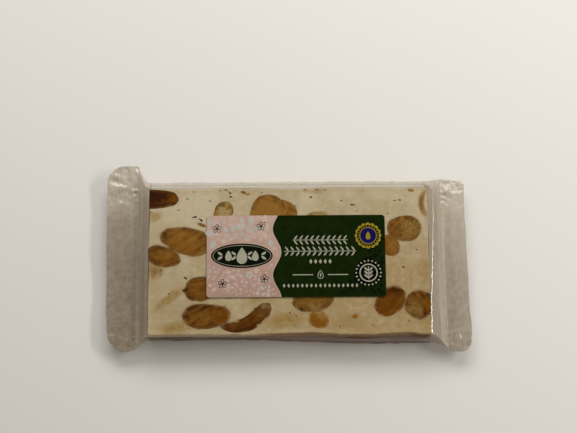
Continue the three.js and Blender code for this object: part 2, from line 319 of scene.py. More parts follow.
def plan(u, v, inset, height):
    """A point of the slab seen from above. u and v run from -1 to 1 between its sides."""
    half_x, half_y = HALF_X - inset, HALF_Y - inset
    x, y = u * half_x, v * half_y
    over_x, over_y = (abs(x) - (half_x - BAR["corner"])), (abs(y) - (half_y - BAR["corner"]))
    round_off = (over_x > 0) & (over_y > 0)
    pull = np.where(round_off, np.maximum(over_x, over_y) / np.maximum(np.hypot(over_x, over_y), 1e-9), 1)
    x = np.where(round_off, np.sign(x) * (half_x - BAR["corner"] + over_x * pull), x)
    y = np.where(round_off, np.sign(y) * (half_y - BAR["corner"] + over_y * pull), y)
    near_front, near_back, near_left, near_right = (((1 + t) / 2) ** EDGE_ONLY for t in (-v, v, -u, u))
    dents = sum(depth * np.exp(-(((x - place) / spread) ** 2)) for place, depth, spread in FRONT_DENTS)
    breaks = NICKS["depth"] * np.clip(hills(x, 0 * x, NICKS["size"], 5), 0, 1)
    breaks = breaks * smooth_step(height, NICKS["from"], BAR["height"])
    y = y + (wander(0, (u + 1) / 2) + dents + breaks) * near_front + wander(2, (1 - u) / 2) * near_back
    x = x + wander(1, (v + 1) / 2) * near_right + wander(3, (1 - v) / 2) * near_left
    return x, y


# %% The slab's skin
DRAG = {"lines": 0.07, "lumps": 0.16, "corner": 2.5}  # depth of the knife's lines and of soft lumps
PRESSED = {"waves": 0.06, "dents": 0.05, "grain": 0.02}   # the top's slow waves, dents and fine grain


def border(steps_x, steps_y):
    """u and v once round the slab's edge, anticlockwise from the front left corner."""
    u, v = np.linspace(-1, 1, steps_x + 1)[:-1], np.linspace(-1, 1, steps_y + 1)[:-1]
    return (np.concatenate([u, np.ones(steps_y), -u, -np.ones(steps_y)]),
            np.concatenate([-np.ones(steps_x), v, np.ones(steps_x), -v]))


def side_ring(u, v, inset, height):
    """One ring round the slab's sides, with the knife's marks pressed inwards."""
    x, y = plan(u, v, inset, height)
    along = np.where(abs(v) == 1, x, y + 200)
    lines = (1 + hills(along + 0.5 * height, 0.25 * height, 0.9, 11)) * DRAG["lines"] / 2
    lumps = (1 + hills(along, height, 6.0, 12)) * DRAG["lumps"] / 2
    from_corner = np.where(abs(v) == 1, (1 - abs(u)) * BAR["length"], (1 - abs(v)) * BAR["width"]) / 2
    depth = (lines + lumps) * smooth_step(from_corner, 0, DRAG["corner"])
    return np.stack([x - np.where(abs(v) == 1, 0, np.sign(u)) * depth,
                     y - np.where(abs(v) == 1, np.sign(v), 0) * depth, np.full_like(x, height)], axis=1)


def slab_blank(name, finish):
    """The whole slab before anything is cut out of it, as one closed skin."""
    steps_x, steps_y = round(BAR["length"] / GRID), round(BAR["width"] / GRID)
    u, v = (axis.ravel() for axis in np.meshgrid(
        np.linspace(-1, 1, steps_x + 1), np.linspace(-1, 1, steps_y + 1), indexing="ij"))
    edge, top = BAR["edge"], BAR["height"]
    border_u, border_v = border(steps_x, steps_y)
    from_rim = np.minimum((1 - abs(u)) * BAR["length"], (1 - abs(v)) * BAR["width"]) / 2
    x, y = plan(u, v, edge, top)
    waves = (1 + hills(x, y, 11, 3)) * PRESSED["waves"]
    dents = np.clip(hills(x, y, 3.4, 6), 0, 1) * PRESSED["dents"] * 2
    grain = (1 + hills(x, y, 1.3, 4)) * PRESSED["grain"]
    sag = (waves + dents + grain) * smooth_step(from_rim, 0, 2)
    upper = np.stack([x, y, top - sag], axis=1)
    below_x, below_y = plan(u, v, edge, 0)
    lower = np.stack([below_x, below_y, BAR["base"] + 0.5 * sag], axis=1)

    bevel = np.radians([25, 50, 75])
    heights = np.linspace(top - edge, BAR["base"] + edge, round(BAR["height"] / (1.2 * GRID)))
    levels = [(edge * (1 - math.sin(a)), top - edge * (1 - math.cos(a))) for a in bevel]
    levels += [(0.0, height) for height in heights]
    levels += [(edge * (1 - math.sin(a)), BAR["base"] + edge * (1 - math.cos(a))) for a in bevel[::-1]]
    rings = [side_ring(border_u, border_v, inset, height) for inset, height in levels]

    stride = steps_y + 1
    cell = np.array([(i * stride + j) for i in range(steps_x) for j in range(steps_y)])
    tops = np.stack([cell, cell + stride, cell + stride + 1, cell + 1], axis=1)
    i, j = np.round((border_u + 1) / 2 * steps_x), np.round((border_v + 1) / 2 * steps_y)
    rim = (i * stride + j).astype(int)
    size, first = len(rim), len(upper)
    loops = [rim] + [first + level * size + np.arange(size) for level in range(len(rings))]
    lower_start = first + len(rings) * size
    loops.append(rim + lower_start)
    walls = [np.stack([a, b, np.roll(b, -1), np.roll(a, -1)], axis=1) for a, b in zip(loops, loops[1:])]
    faces = np.concatenate([tops, *walls, tops[:, ::-1] + lower_start])
    return object_of(name, np.concatenate([upper, *rings, lower]), faces.tolist(), finish)


# %% [markdown]
# ## The almonds
# Whole almonds lie in the nougat at all angles and the knife cuts straight through them, so
# what shows is always a flat section flush with the face. The honest way to get that is the
# cook's own: make the whole nut, put it in place, and cut nut and slab with the same knife.
# Each row below is one nut: its middle, its length and width, and the turn of its long axis.
# - "depth" is half its height, "point" how much one end is slimmer, "blunt" how full it is, and
#   "bend" the radius of a curved nut. "bumps" are bulges: direction, half width and height.
# - "tone" runs from deep to light brown. "grain" is the lean of its fine lines in degrees, and
#   "fine" how close they lie. "skin" and "smear" say how much dark skin and how much smeared
#   nougat run along its rim.
# - "paint" lists soft patches on its cut face: what it is, where it is in shares of the nut's
#   half length and half width, how far it reaches, and how strong it is.

# %% Nuts in the top face
TOP_NUTS = {
    "back_left": dict(x=-61.0, y=28.6, length=22.0, width=9.0, turn=0, tone=0.05, blunt=2.9, fine=0.6,
                      smear=0.1, paint=[
        ("dark", 0.0, 0.15, 0.7, 0.9), ("dark", 0.1, -0.5, 0.5, 0.6), ("amber", 0.95, 0.1, 0.4, 1.0)]),
    "left_large": dict(x=-46.6, y=9.1, length=24.2, width=12.4, turn=-12, point=-0.16, tone=0.5, grain=52,
                       fine=0.75, bumps=[(228, 26, -0.13)], paint=[
        ("dark", -0.9, 0.1, 0.3, 0.5), ("flesh", 0.9, -0.35, 0.3, 0.6), ("amber", 0.1, -0.5, 0.6, 0.3)]),
    "left_small": dict(x=-56.2, y=2.3, length=16.0, width=8.8, turn=-15, tone=0.32, grain=30, fine=0.7,
                       smear=0.4, bumps=[(280, 45, 0.15)], paint=[
        ("dark", -0.4, -0.8, 0.4, 0.45), ("amber", 0.1, -0.5, 0.5, 0.4)]),
    "label_left": dict(x=-39.9, y=-12.7, length=16.0, width=11.2, turn=4, tone=0.16, fine=0.7, skin=0.3,
                       point=0.03, bumps=[(180, 55, -0.2), (180, 10, 0.24)], paint=[
        ("dark", -1.0, -0.05, 0.22, 1.0), ("flesh", -0.6, 0.5, 0.26, 0.6), ("amber", -0.2, 0.0, 0.5, 0.25)]),
    "front_left": dict(x=-36.6, y=-24.9, length=22.0, width=11.0, turn=2, point=0.1, tone=0.19, grain=24,
                       paint=[("amber", 0.75, 0.1, 0.7, 0.6), ("dark", -0.4, 0.7, 0.4, 0.25)]),
    "curved": dict(x=-18.0, y=-28.2, length=25.5, width=6.6, depth=4.2, turn=24, bend=16, point=-0.3,
                   blunt=2.8, tone=0.0, grain=4, fine=0.4, smear=0.1, paint=[
        ("dark", -0.95, 0.0, 0.3, 0.9), ("dark", -0.5, -0.5, 0.6, 0.35), ("flesh", 0.85, 0.2, 0.55, 0.85),
        ("smear", 0.45, -0.95, 0.26, 0.9), ("smear", -0.6, 0.85, 0.26, 0.8), ("smear", 0.95, 0.1, 0.3, 0.3)]),
    "half_round": dict(x=-29.2, y=22.6, length=9.4, width=8.4, turn=78, tone=1.0, skin=0.75,
                       smear=0.15, paint=[
        ("flesh", 0.0, 0.0, 1.2, 1.0), ("dark", 0.6, 0.3, 0.45, 0.5), ("dark", 0.45, -0.5, 0.35, 0.4),
        ("dark", 0.3, 0.8, 0.35, 0.6), ("dark", -0.1, -0.75, 0.25, 0.4), ("smear", 0.0, 0.2, 0.55, 0.85),
        ("smear", -0.1, -0.4, 0.45, 0.8), ("smear", 0.8, -0.2, 0.35, 0.5), ("smear", -0.6, -0.1, 0.6, 0.8)]),
    "back_middle": dict(x=-9.3, y=22.6, length=15.8, width=15.2, turn=-20, point=-0.06, tone=0.8, skin=0.0,
                        smear=0.0, paint=[
        ("dark", -0.75, 0.6, 0.3, 0.3), ("dark", 0.1, 0.98, 0.3, 0.3), ("flesh", 0.0, 0.0, 1.2, 0.3),
        ("flesh", 0.9, 0.1, 0.4, 0.5), ("amber", 0.2, 0.2, 1.0, 0.3)]),
    "back_lobe": dict(x=-1.1, y=22.3, length=10.0, width=9.0, turn=-30, point=0.05, tone=0.75, skin=0.0,
                      smear=0.1, bumps=[(150, 35, 0.2)], paint=[
        ("flesh", -0.6, 0.2, 0.6, 0.5), ("dark", 0.3, 0.5, 0.25, 0.3), ("amber", -0.2, 0.0, 1.1, 0.4)]),
    "label_back": dict(x=13.1, y=16.1, length=12.8, width=12.4, turn=0, point=0, tone=0.8, smear=0.9, paint=[
        ("flesh", 0.0, 0.8, 0.7, 0.8), ("smear", 0.1, 0.85, 0.6, 0.5)]),
    "right_large": dict(x=51.9, y=14.3, length=15.2, width=12.1, turn=4, point=-0.06, tone=0.42, grain=40,
                        paint=[
        ("flesh", 0.4, 0.0, 0.78, 1.0), ("dark", -0.3, 0.25, 0.2, 0.35), ("dark", -0.3, -0.05, 0.18, 0.35),
        ("flesh", 0.0, -0.8, 0.5, 0.6)]),
    "label_right": dict(x=45.4, y=6.4, length=10.0, width=8.8, turn=-60, tone=0.5, smear=0.5, paint=[
        ("amber", 0.0, 0.0, 1.0, 0.4), ("flesh", 0.2, 0.4, 0.8, 0.4), ("dark", -0.6, 0.5, 0.3, 0.2)]),
    "right_sliver": dict(x=59.9, y=25.8, length=12.6, width=2.6, depth=3.0, turn=90, bend=-8.5, tone=0.4,
                         smear=0.9, paint=[("flesh", -0.4, 0.0, 0.8, 0.6), ("dark", 0.6, 0.2, 0.3, 0.3)]),
    "front_right": dict(x=44.9, y=-18.8, length=15.4, width=11.6, turn=38, point=-0.1, tone=0.1, fine=0.8,
                        paint=[
        ("amber", -0.25, -0.25, 1.0, 0.6), ("dark", 0.1, 0.2, 0.9, 0.2), ("dark", 0.7, 0.3, 0.4, 0.4),
        ("flesh", 0.35, -0.35, 0.2, 0.3)]),
    "right_corner": dict(x=57.9, y=-20.2, length=13.4, width=12.4, turn=60, point=0.05, tone=0.2, grain=70,
                         paint=[
        ("flesh", -0.55, 0.2, 0.75, 1.0), ("amber", 0.35, -0.7, 0.5, 0.9), ("dark", 0.85, -0.15, 0.3, 0.6),
        ("smear", -0.7, 0.5, 0.3, 0.2), ("smear", -0.4, -0.3, 0.3, 0.1)]),
    "label_front": dict(x=10.5, y=-17.2, length=18.4, width=12.4, turn=4, point=0, tone=0.24, smear=0.3,
                        grain=60, paint=[
        ("flesh", 0.0, -0.3, 1.2, 0.65), ("amber", -0.1, -0.25, 0.4, 1.0), ("amber", 0.0, -0.3, 1.0, 0.5),
        ("dark", -0.6, -0.8, 0.14, 0.8), ("smear", 0.1, -0.85, 0.4, 0.25),
        ("smear", 0.55, -0.8, 0.25, 0.15)]),
    "front_middle": dict(x=13.0, y=-26.6, length=9.4, width=8.0, turn=-20, point=0, tone=0.8, smear=0.75,
                         paint=[
        ("amber", 0.0, -0.1, 1.0, 0.7), ("flesh", 0.1, 0.8, 0.8, 0.8), ("smear", -0.2, 0.9, 0.3, 0.4)]),
    "chip_front": dict(x=29.1, y=-25.4, length=3.6, width=3.0, depth=1.8, turn=20, point=0, tone=0.9,
                       smear=1.0, paint=[("amber", 0.0, 0.0, 0.7, 0.6)]),
}
print(len(TOP_NUTS), "nuts show in the top face")

# %% [markdown]
# Nuts in the two long sides and in the underside are hidden most of the time, so all but the one
# at the front right corner keep a plain look. The underside is strewn by the same seeded rule as
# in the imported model: a simple number run, so that both give the same places.

# %% Nuts in the sides and the underside
SIDE_NUTS = {
    "side_front_right": dict(side=-1, x=58.2, z=7.4, length=9.6, width=6.4, tone=0.3, paint=[
        ("dark", 0.4, 0.3, 0.7, 0.5)]),
    "side_front_left": dict(side=-1, x=-50.5, z=4.6, length=15, width=5.6, tone=0.5),
    "side_front_middle": dict(side=-1, x=30.5, z=4.4, length=12, width=5.2, tone=0.6),
    "side_back_left": dict(side=1, x=-43, z=6.2, length=14, width=6.2, tone=0.35),
    "side_back_middle": dict(side=1, x=17.5, z=5.0, length=17, width=5.4, tone=0.55),
    "side_back_right": dict(side=1, x=45.5, z=6.6, length=11, width=6.6, tone=0.45),
}
STREWN = {"count": 13, "reach": (54, 25), "length": (15, 22), "slimness": (0.5, 0.62), "spacing": 15.5,
          "seed": 20, "tries": 400}


def number_run(seed):
    """Even random numbers from 0 to 1, made by the oldest rule there is."""
    state = seed
    while True:
        state = (state * 1664525 + 1013904223) % 2**32
        yield state / 2**32


def strewn_nuts():
    run = number_run(STREWN["seed"])
    nuts = {}
    for _ in range(STREWN["tries"]):
        if len(nuts) == STREWN["count"]:
            break
        x, y = ((2 * next(run) - 1) * reach for reach in STREWN["reach"])
        shortest, longest = STREWN["length"]
        length = shortest + (longest - shortest) * next(run)
        slimmest, fattest = STREWN["slimness"]
        width = length * (slimmest + (fattest - slimmest) * next(run))
        turn = 180 * next(run)
        if all(math.hypot(nut["x"] - x, nut["y"] - y) >= STREWN["spacing"] for nut in nuts.values()):
            nuts[f"base_{len(nuts) + 1:02d}"] = dict(
                x=x, y=y, length=length, width=width, turn=turn, tone=0.3 + 0.5 * (len(nuts) % 3) / 2)
    return nuts


BASE_NUTS = strewn_nuts()
print(len(SIDE_NUTS), "nuts in the sides,", len(BASE_NUTS), "in the underside")

# %% [markdown]
# A nut is a ball drawn out to the nut's three sizes, a little narrower towards its point, and
# rolled round an arc if it is a curved one. A few waves round it keep two nuts from looking
# alike. The same form grown by a hair is the pocket that it lies in, so that a fine dark line
# is left between nut and nougat, as on the real cut face.

# %% The form of a nut
NUT = {"depth": 5.2, "side_depth": 4.4, "point": 0.14, "sunk": 0.4, "pocket": 0.015, "around": 76, "rows": 22}
LUMPS = [(2, 0.022), (3, 0.016), (5, 0.012), (9, 0.008), (14, 0.006)]   # waves round a nut, and how strong
BLUNT = 2.25                                          # 2 is an oval, and more is blunter


def lumps(nut, angle):
    """How much wider than an even oval the nut is in each direction."""
    shift = 7 * nut["x"] + 3 * nut.get("y", 5)
    power = nut.get("blunt", BLUNT)
    reach = (abs(np.cos(angle)) ** power + abs(np.sin(angle)) ** power) ** (-1 / power)
    reach = reach * (1 + sum(size * np.sin(waves * angle + waves * shift) for waves, size in LUMPS))
    for direction, spread, height in nut.get("bumps", ()):
        away = (np.degrees(angle) - direction + 180) % 360 - 180
        reach = reach * (1 + height * np.exp(-((away / spread) ** 2)))
    return reach


def ball_angles(around, rows):
    """The rise and the turn of a ball's points, ring by ring, without its two poles."""
    turn = np.linspace(0, 2 * np.pi, around, endpoint=False)
    rise = np.linspace(-np.pi / 2, np.pi / 2, rows + 1)[1:-1]
    return (axis.ravel() for axis in np.meshgrid(rise, turn, indexing="ij"))


def nut_points(nut, grow):
    """A nut lying along x round the origin, as the points of its rings and its two poles."""
    rise, turn = ball_angles(NUT["around"], NUT["rows"])
    x, y, z = np.cos(rise) * np.cos(turn), np.cos(rise) * np.sin(turn), np.sin(rise)
    x, y, z = np.append(x, [0, 0]), np.append(y, [0, 0]), np.append(z, [-1, 1])
    uneven = lumps(nut, np.arctan2(y, x))
    depth = nut["depth"]
    along = x * uneven * (nut["length"] / 2 + grow)
    across = y * uneven * (nut["width"] / 2 + grow) * (1 - nut.get("point", NUT["point"]) * x)
    if "bend" in nut:
        angle, radius = along / nut["bend"], nut["bend"] - across
        along, across = radius * np.sin(angle), nut["bend"] - radius * np.cos(angle)
    return np.stack([along, across, z * (depth + grow)], axis=1)


def ball_faces(around, rows):
    """The faces between a ball's rings, with a fan at each pole."""
    rings = rows - 1
    ring = np.arange(around)
    after = np.roll(ring, -1)
    faces = []
    for level in range(rings - 1):
        here, above = level * around, (level + 1) * around
        faces += np.stack([here + ring, here + after, above + after, above + ring], axis=1).tolist()
    bottom, top, last = rings * around, rings * around + 1, (rings - 1) * around
    faces += [(bottom, b, a) for a, b in zip(ring.tolist(), after.tolist())]
    faces += [(top, last + a, last + b) for a, b in zip(ring.tolist(), after.tolist())]
    return faces


def nut_place(nut):
    """Three rows of numbers that turn a lying nut into its place, and the place of its middle."""
    if "side" in nut:
        middle = (nut["x"], nut["side"] * (HALF_Y - NUT["sunk"]), nut["z"])
        return np.array([(1, 0, 0), (0, 0, 1), (0, -1, 0)], float), np.array(middle)
    angle = math.radians(nut["turn"])
    turn = [(math.cos(angle), math.sin(angle), 0), (-math.sin(angle), math.cos(angle), 0), (0, 0, 1)]
    height = NUT["sunk"] if nut.get("below") else BAR["height"] - NUT["sunk"]
    return np.array(turn), np.array((nut["x"], nut["y"], height))


def nut_body(name, nut, grow, finish=None):
    """A nut in its place, as a mesh that is grown all round by a few hundredths for a pocket."""
    turn, middle = nut_place(nut)
    faces = ball_faces(NUT["around"], NUT["rows"])
    return object_of(name, nut_points(nut, grow) @ turn + middle, faces, finish)


for nut in TOP_NUTS.values():
    nut.setdefault("depth", NUT["depth"])
for nut in SIDE_NUTS.values():
    nut["depth"] = NUT["side_depth"]
for nut in BASE_NUTS.values():
    nut["depth"] = NUT["side_depth"]
    nut["below"] = True
NUTS = {**TOP_NUTS, **SIDE_NUTS, **BASE_NUTS}

# %% [markdown]
# ## Holes and crumbs
# Beaten egg white leaves air in nougat. Where the knife opens a bubble it drags the edge, so
# the larger holes are little slits that all lean the same way, with pores between them. Crumbs
# of almond are cut flush as well. Both are real shapes here: holes as balls that are cut away,
# and crumbs as very small nuts.

# %% Where the holes and crumbs are
SLITS = [(-42.8, 31.7), (-45.7, 28.5), (-42.3, 20.1), (-39.5, 18.7), (-31.1, 32.2), (-28.3, 32.4),
         (-26.5, 31.2), (-26.1, 29.4), (3.1, 25.1), (10.1, 29.0), (23.9, 27.3), (28.8, 25.4),
         (30.8, 22.4), (44.7, 21.2), (48.0, 27.2), (50.3, 27.4), (51.1, -3.4), (-46.2, -7.7),
         (0.2, -23.7), (-53.6, -14.8), (-15.2, -21.6), (-12.0, 31.2), (-35.4, 27.4), (57.2, 4.6),
         (33.5, 31.6), (2.6, -29.5), (22.4, -29.8), (53.0, -27.6), (36.8, -29.5), (-49.7, 23.4)]
LARGE_SLITS = {                                       # how much larger these are than the others
    (28.8, 25.4): 1.5, (-42.3, 20.1): 1.5, (-39.5, 18.7): 1.7, (51.1, -3.4): 1.2, (-46.2, -7.7): 1.4,
    (10.1, 29.0): 1.2, (-31.1, 32.2): 1.3, (-28.3, 32.4): 1.3, (-26.5, 31.2): 1.3, (-26.1, 29.4): 1.2,
    (-45.7, 28.5): 1.2, (23.9, 27.3): 1.2}
SLIT = {"length": (0.45, 0.8), "width": (0.25, 0.4), "depth": (0.34, 0.54), "lean": (-45, 5)}
PORES = {"count": 420, "radius": (0.1, 0.26), "stretch": (1.0, 1.9), "spacing": 1.3,
         "margin": 2, "heights": (1, 11), "out": 0.1, "around": 8, "rows": 6,
         "shares": [0.42, 0.16, 0.16, 0.06, 0.2]}     # of top, front, back, ends and underside
CRUMBS = [
    dict(x=-20.4, y=31.4, length=2.9, width=1.5, turn=-12, tone=0.5),
    dict(x=-18.4, y=30.5, length=2.4, width=1.3, turn=10, tone=0.6),
    dict(x=55.4, y=31.9, length=3.4, width=1.7, turn=-8, tone=0.8),
    dict(x=-39.2, y=16.5, length=4.4, width=1.7, turn=-22, tone=0.35),
    dict(x=-57.2, y=-4.1, length=1.6, width=1.3, turn=30, tone=0.1),
    dict(x=7.6, y=32.4, length=2.0, width=0.6, turn=3, tone=0.1),
    dict(x=12.8, y=32.5, length=2.0, width=0.6, turn=-4, tone=0.1),
    dict(x=16.6, y=32.3, length=1.5, width=0.7, turn=8, tone=0.1),
    dict(x=3.0, y=-24.9, length=1.6, width=0.7, turn=-35, tone=0.3),
    dict(x=-28.6, y=-20.4, length=1.5, width=0.8, turn=-30, tone=0.3),
]
CRUMB_DEPTH = 0.9


def small_ball(middle, sizes, turn, around=12, rows=7):
    """A little uneven ball of given half sizes, turned in plan. Returns its points and faces."""
    rise, spin = ball_angles(around, rows)
    uneven = 1 + 0.22 * np.sin(3 * spin + turn) + 0.14 * np.sin(5 * spin + 2 * turn)
    x, y, z = np.cos(rise) * np.cos(spin), np.cos(rise) * np.sin(spin), np.sin(rise) / uneven
    points = np.stack([x, y, z], axis=1) * uneven[:, None]
    points = np.concatenate([points, [(0, 0, -1), (0, 0, 1)]]) * sizes
    c, s = math.cos(math.radians(turn)), math.sin(math.radians(turn))
    return points @ np.array([(c, s, 0), (-s, c, 0), (0, 0, 1)]) + middle, ball_faces(around, rows)


def joined(balls):
    """Several sets of points and faces as one."""
    points, faces = [], []
    for some_points, some_faces in balls:
        start = sum(len(one) for one in points)
        points.append(some_points)
        faces += [tuple(int(corner) + start for corner in face) for face in some_faces]
    return np.concatenate(points), faces


def hole_balls():
    """The slits at their places, and pores strewn over top, sides and underside."""
    draw = np.random.default_rng(31)
    balls, taken = [], []
    for place in SLITS:
        large = LARGE_SLITS.get(place, 1.0)
        sizes = [draw.uniform(*SLIT[side]) * large for side in ("length", "width", "depth")]
        balls.append(small_ball((*place, BAR["height"]), sizes, draw.uniform(*SLIT["lean"])))
        taken.append((*place, BAR["height"]))
    for nut in NUTS.values():
        taken.append(tuple(nut_place(nut)[1]))
    reach_x, reach_y, out = HALF_X - PORES["margin"], HALF_Y - PORES["margin"], PORES["out"]
    while len(balls) < len(SLITS) + PORES["count"]:
        radius = draw.uniform(*PORES["radius"])
        face = draw.choice(len(PORES["shares"]), p=PORES["shares"])
        x, y = draw.uniform(-reach_x, reach_x), draw.uniform(-reach_y, reach_y)
        z = draw.uniform(*PORES["heights"])
        spot = [(x, y, BAR["height"]), (x, -HALF_Y - out, z), (x, HALF_Y + out, z),
                ((HALF_X + out) * np.sign(x), y, z), (x, y, BAR["base"])][face]
        if min(math.dist(spot, other) for other in taken) < PORES["spacing"]:
            continue
        sizes = (radius * draw.uniform(*PORES["stretch"]), radius, radius * 1.2)
        balls.append(small_ball(spot, sizes, draw.uniform(*SLIT["lean"]), PORES["around"], PORES["rows"]))
        taken.append(spot)
    return balls


# %% [markdown]
# ## The knife
# Blender's Boolean modifier does the cutting. Its Manifold solver is made for closed bodies and
# cuts this slab in a second or two. Each nut is first kept to what lies inside the slab, so its
# cut face takes on the slab's own slight waves. A nut that butts against an earlier one loses
# the earlier one's pocket. At the end the slab loses every pocket, hole and crumb at once.

# %% Cutting with booleans
def carve(body, operation, cutters):
    """Cuts a body with others and keeps the result as its plain mesh."""
    group = bpy.data.collections.new("cutters")
    bpy.context.scene.collection.children.link(group)
    for cutter in cutters:
        group.objects.link(cutter)
    modifier = body.modifiers.new("knife", "BOOLEAN")
    modifier.operation = operation
    modifier.solver = "MANIFOLD"
    modifier.operand_type = "COLLECTION"
    modifier.collection = group
    depsgraph = bpy.context.evaluated_depsgraph_get()
    fresh = bpy.data.meshes.new_from_object(body.evaluated_get(depsgraph), depsgraph=depsgraph)
    old = body.data
    body.modifiers.clear()
    body.data = fresh
    fresh.name = body.name
    bpy.data.meshes.remove(old)
    bpy.data.collections.remove(group)


def throw_away(things):
    for thing in things:
        mesh = thing.data
        bpy.data.objects.remove(thing)
        bpy.data.meshes.remove(mesh)


def keep_largest_part(thing):
    """Deletes all but the largest connected part. A pore that misses the skin is a loose ball."""
    work = bmesh.new()
    work.from_mesh(thing.data)
    unseen, parts = set(work.verts), []
    while unseen:
        part, fresh = set(), {unseen.pop()}
        while fresh:
            part |= fresh
            fresh = {edge.other_vert(point) for point in fresh for edge in point.link_edges} - part
        unseen -= part
        parts.append(part)
    largest = max(parts, key=len)
    loose = [point for part in parts if part is not largest for point in part]
    bmesh.ops.delete(work, geom=loose, context="VERTS")
    work.to_mesh(thing.data)
    work.free()
    return len(parts) - 1


def points_of(thing):
    """The points of a mesh in millimetres round the slab's middle."""
    flat = np.zeros(len(thing.data.vertices) * 3)
    thing.data.vertices.foreach_get("co", flat)
    return flat.reshape(-1, 3) / MM - np.array(MIDDLE)


# %% [markdown]
# ## Finish of the nougat
# Soft nougat is cream, a little see-through and never even: honey gathers in yellow patches,
# fine air makes it paler, and it scatters light under the skin. The shader mixes two creams
# with slow noise, adds the honey where the mesh says so, and lets a little light travel inside.

# %% Nougat
CREAM, CREAM_WARM = tone(191, 177, 144), tone(162, 138, 91)
HONEY, PALE_AIR = tone(148, 116, 44), tone(214, 205, 176)
# The dark brown for the holes is painted shade down in them, with the honey film they hold.
STAIN, PIT_SHADE, DRAGGED = tone(128, 92, 44), tone(84, 50, 20), tone(150, 124, 82)
STAINS = [                                            # x, y, half sizes, turn, strength
    (-59.9, -4.9, 1.4, 3.2, -15, 1.0), (-57.2, -5.0, 1.0, 2.0, 0, 0.8), (-61.6, -3.0, 1.0, 3.0, 0, 0.7),
    (-62.0, 22.2, 1.2, 0.8, 0, 0.7), (-44.8, -16.6, 1.6, 0.8, 60, 0.6), (62.0, 20.0, 1.0, 5.0, 0, 0.35),
    (-7.0, -22.2, 1.2, 0.5, -30, 0.4), (26.6, -26.0, 1.6, 1.6, 0, 0.35), (6.0, -22.4, 2.4, 1.0, 0, 0.4)]
HONEY_PATCHES = [                                     # x, y, half sizes, turn, strength
    (-60.2, 20.2, 4.2, 2.4, 30, 0.75), (-53.0, -16.8, 9.5, 2.4, 38, 0.95), (-49.6, -30.0, 9.0, 3.4, 12, 0.9),
    (-1.4, -26.8, 9.0, 4.5, 10, 0.8), (12.6, 31.8, 5.5, 1.4, 0, 0.45), (60.4, -3.6, 3.4, 6.0, 0, 0.6),
    (-13.9, -17.6, 4.2, 1.6, 15, 0.5), (47.0, 24.0, 12.0, 4.0, -10, 0.25), (26.0, -28.0, 10.0, 3.6, 0, 0.4),
    (-57.0, 31.5, 3.5, 1.5, 0, 0.3), (60.0, -28.0, 3.0, 4.0, 0, 0.45), (-28.0, 29.0, 6.0, 2.5, -20, 0.2),
    (-59.6, -4.0, 4.0, 5.0, -20, 0.9), (-41.0, -20.0, 7.0, 1.6, 20, 0.45), (46.0, -4.0, 5.0, 2.0, 30, 0.3)]
SPOT_EDGE = (0.25, 1.25)                              # where a spot starts to fade and where it ends


def nougat_finish():
    finish, tree, shader = new_finish("nougat", 0.5, Subsurface_Weight=0.18, Subsurface_Scale=0.0012)
    shader.inputs["Subsurface Radius"].default_value = (1.0, 0.7, 0.35)
    space = own_space(tree)
    cream = blend_colours(tree, stored(tree, "warmth")["Fac"], CREAM, CREAM_WARM)
    air = remap(tree, noise(tree, space, 2.6, 5, 0.6), 0.48, 0.74, 0, 0.27)
    cream = blend_colours(tree, air, cream, PALE_AIR)
    drag_space = own_space(tree, (0.3, 1.6, 1), -25)
    drags = remap(tree, noise(tree, drag_space, 0.9, 4, 0.6), 0.56, 0.76, 0, 0.5)
    cream = blend_colours(tree, drags, cream, DRAGGED)
    edge = remap(tree, noise(tree, space, 1.6, 3), 0.3, 0.7, 0.55, 1.3)
    honey = combine(tree, "MULTIPLY", stored(tree, "honey")["Fac"], edge)
    coloured = blend_colours(tree, honey, cream, HONEY)
    # Stains are the nougat's own colour; the holes' dark brown is painted shade.
    for name, colour in (("stain", STAIN), ("pit_shade", PIT_SHADE)):
        coloured = blend_colours(tree, stored(tree, name)["Fac"], coloured, colour)
    tree.links.new(coloured, shader.inputs["Base Color"])
    tree.links.new(remap(tree, noise(tree, space, 0.9, 2), 0.3, 0.7, 0.42, 0.6), shader.inputs["Roughness"])
    bump(tree, shader, noise(tree, space, 0.45, 3, 0.6), 0.05)
    return finish


def store(thing, name, kind, values):
    """Keeps one value for each point of a mesh, for its shader to read."""
    attribute = thing.data.attributes.new(name, kind, "POINT")
    field = {"FLOAT": "value", "FLOAT_VECTOR": "vector", "FLOAT_COLOR": "color"}[kind]
    attribute.data.foreach_set(field, np.asarray(values, np.float32).ravel())


def soft_spot(x, y, middle_x, middle_y, half_x, half_y, turn):
    """1 in the middle of a turned oval and 0 from a little outside its edge."""
    c, s = math.cos(math.radians(turn)), math.sin(math.radians(turn))
    along, across = (x - middle_x) * c + (y - middle_y) * s, (y - middle_y) * c - (x - middle_x) * s
    return 1 - smooth_step(np.hypot(along / half_x, across / half_y), *SPOT_EDGE)


# %% [markdown]
# ## Finish of the almonds
# The nuts were roasted and have soaked up syrup, so a cut face is a deep, even brown with fine
# lines along the nut, darker at the skin. Where a nut broke instead of being cut, its pale dry
# flesh shows with grains and pits. Where syrup has gone all the way through it glows amber. One
# shader holds all three. Each nut carries its own frame and its own patches in its mesh, so the
# lines follow the nut and not the bar.

# %% Almonds
NUT_LIGHT, NUT_DEEP = tone(148, 104, 40), tone(76, 37, 2)
SKIN_DARK, AMBER = tone(46, 17, 2), tone(116, 68, 0)
FLESH_LIGHT, FLESH_DEEP = tone(152, 118, 58), tone(94, 64, 16)
SMEAR = tone(166, 144, 100)
LINES_SQUEEZE, FIBRE_SQUEEZE = (0.09, 0.68, 1), (0.55, 1.3, 1)   # along and across the nut


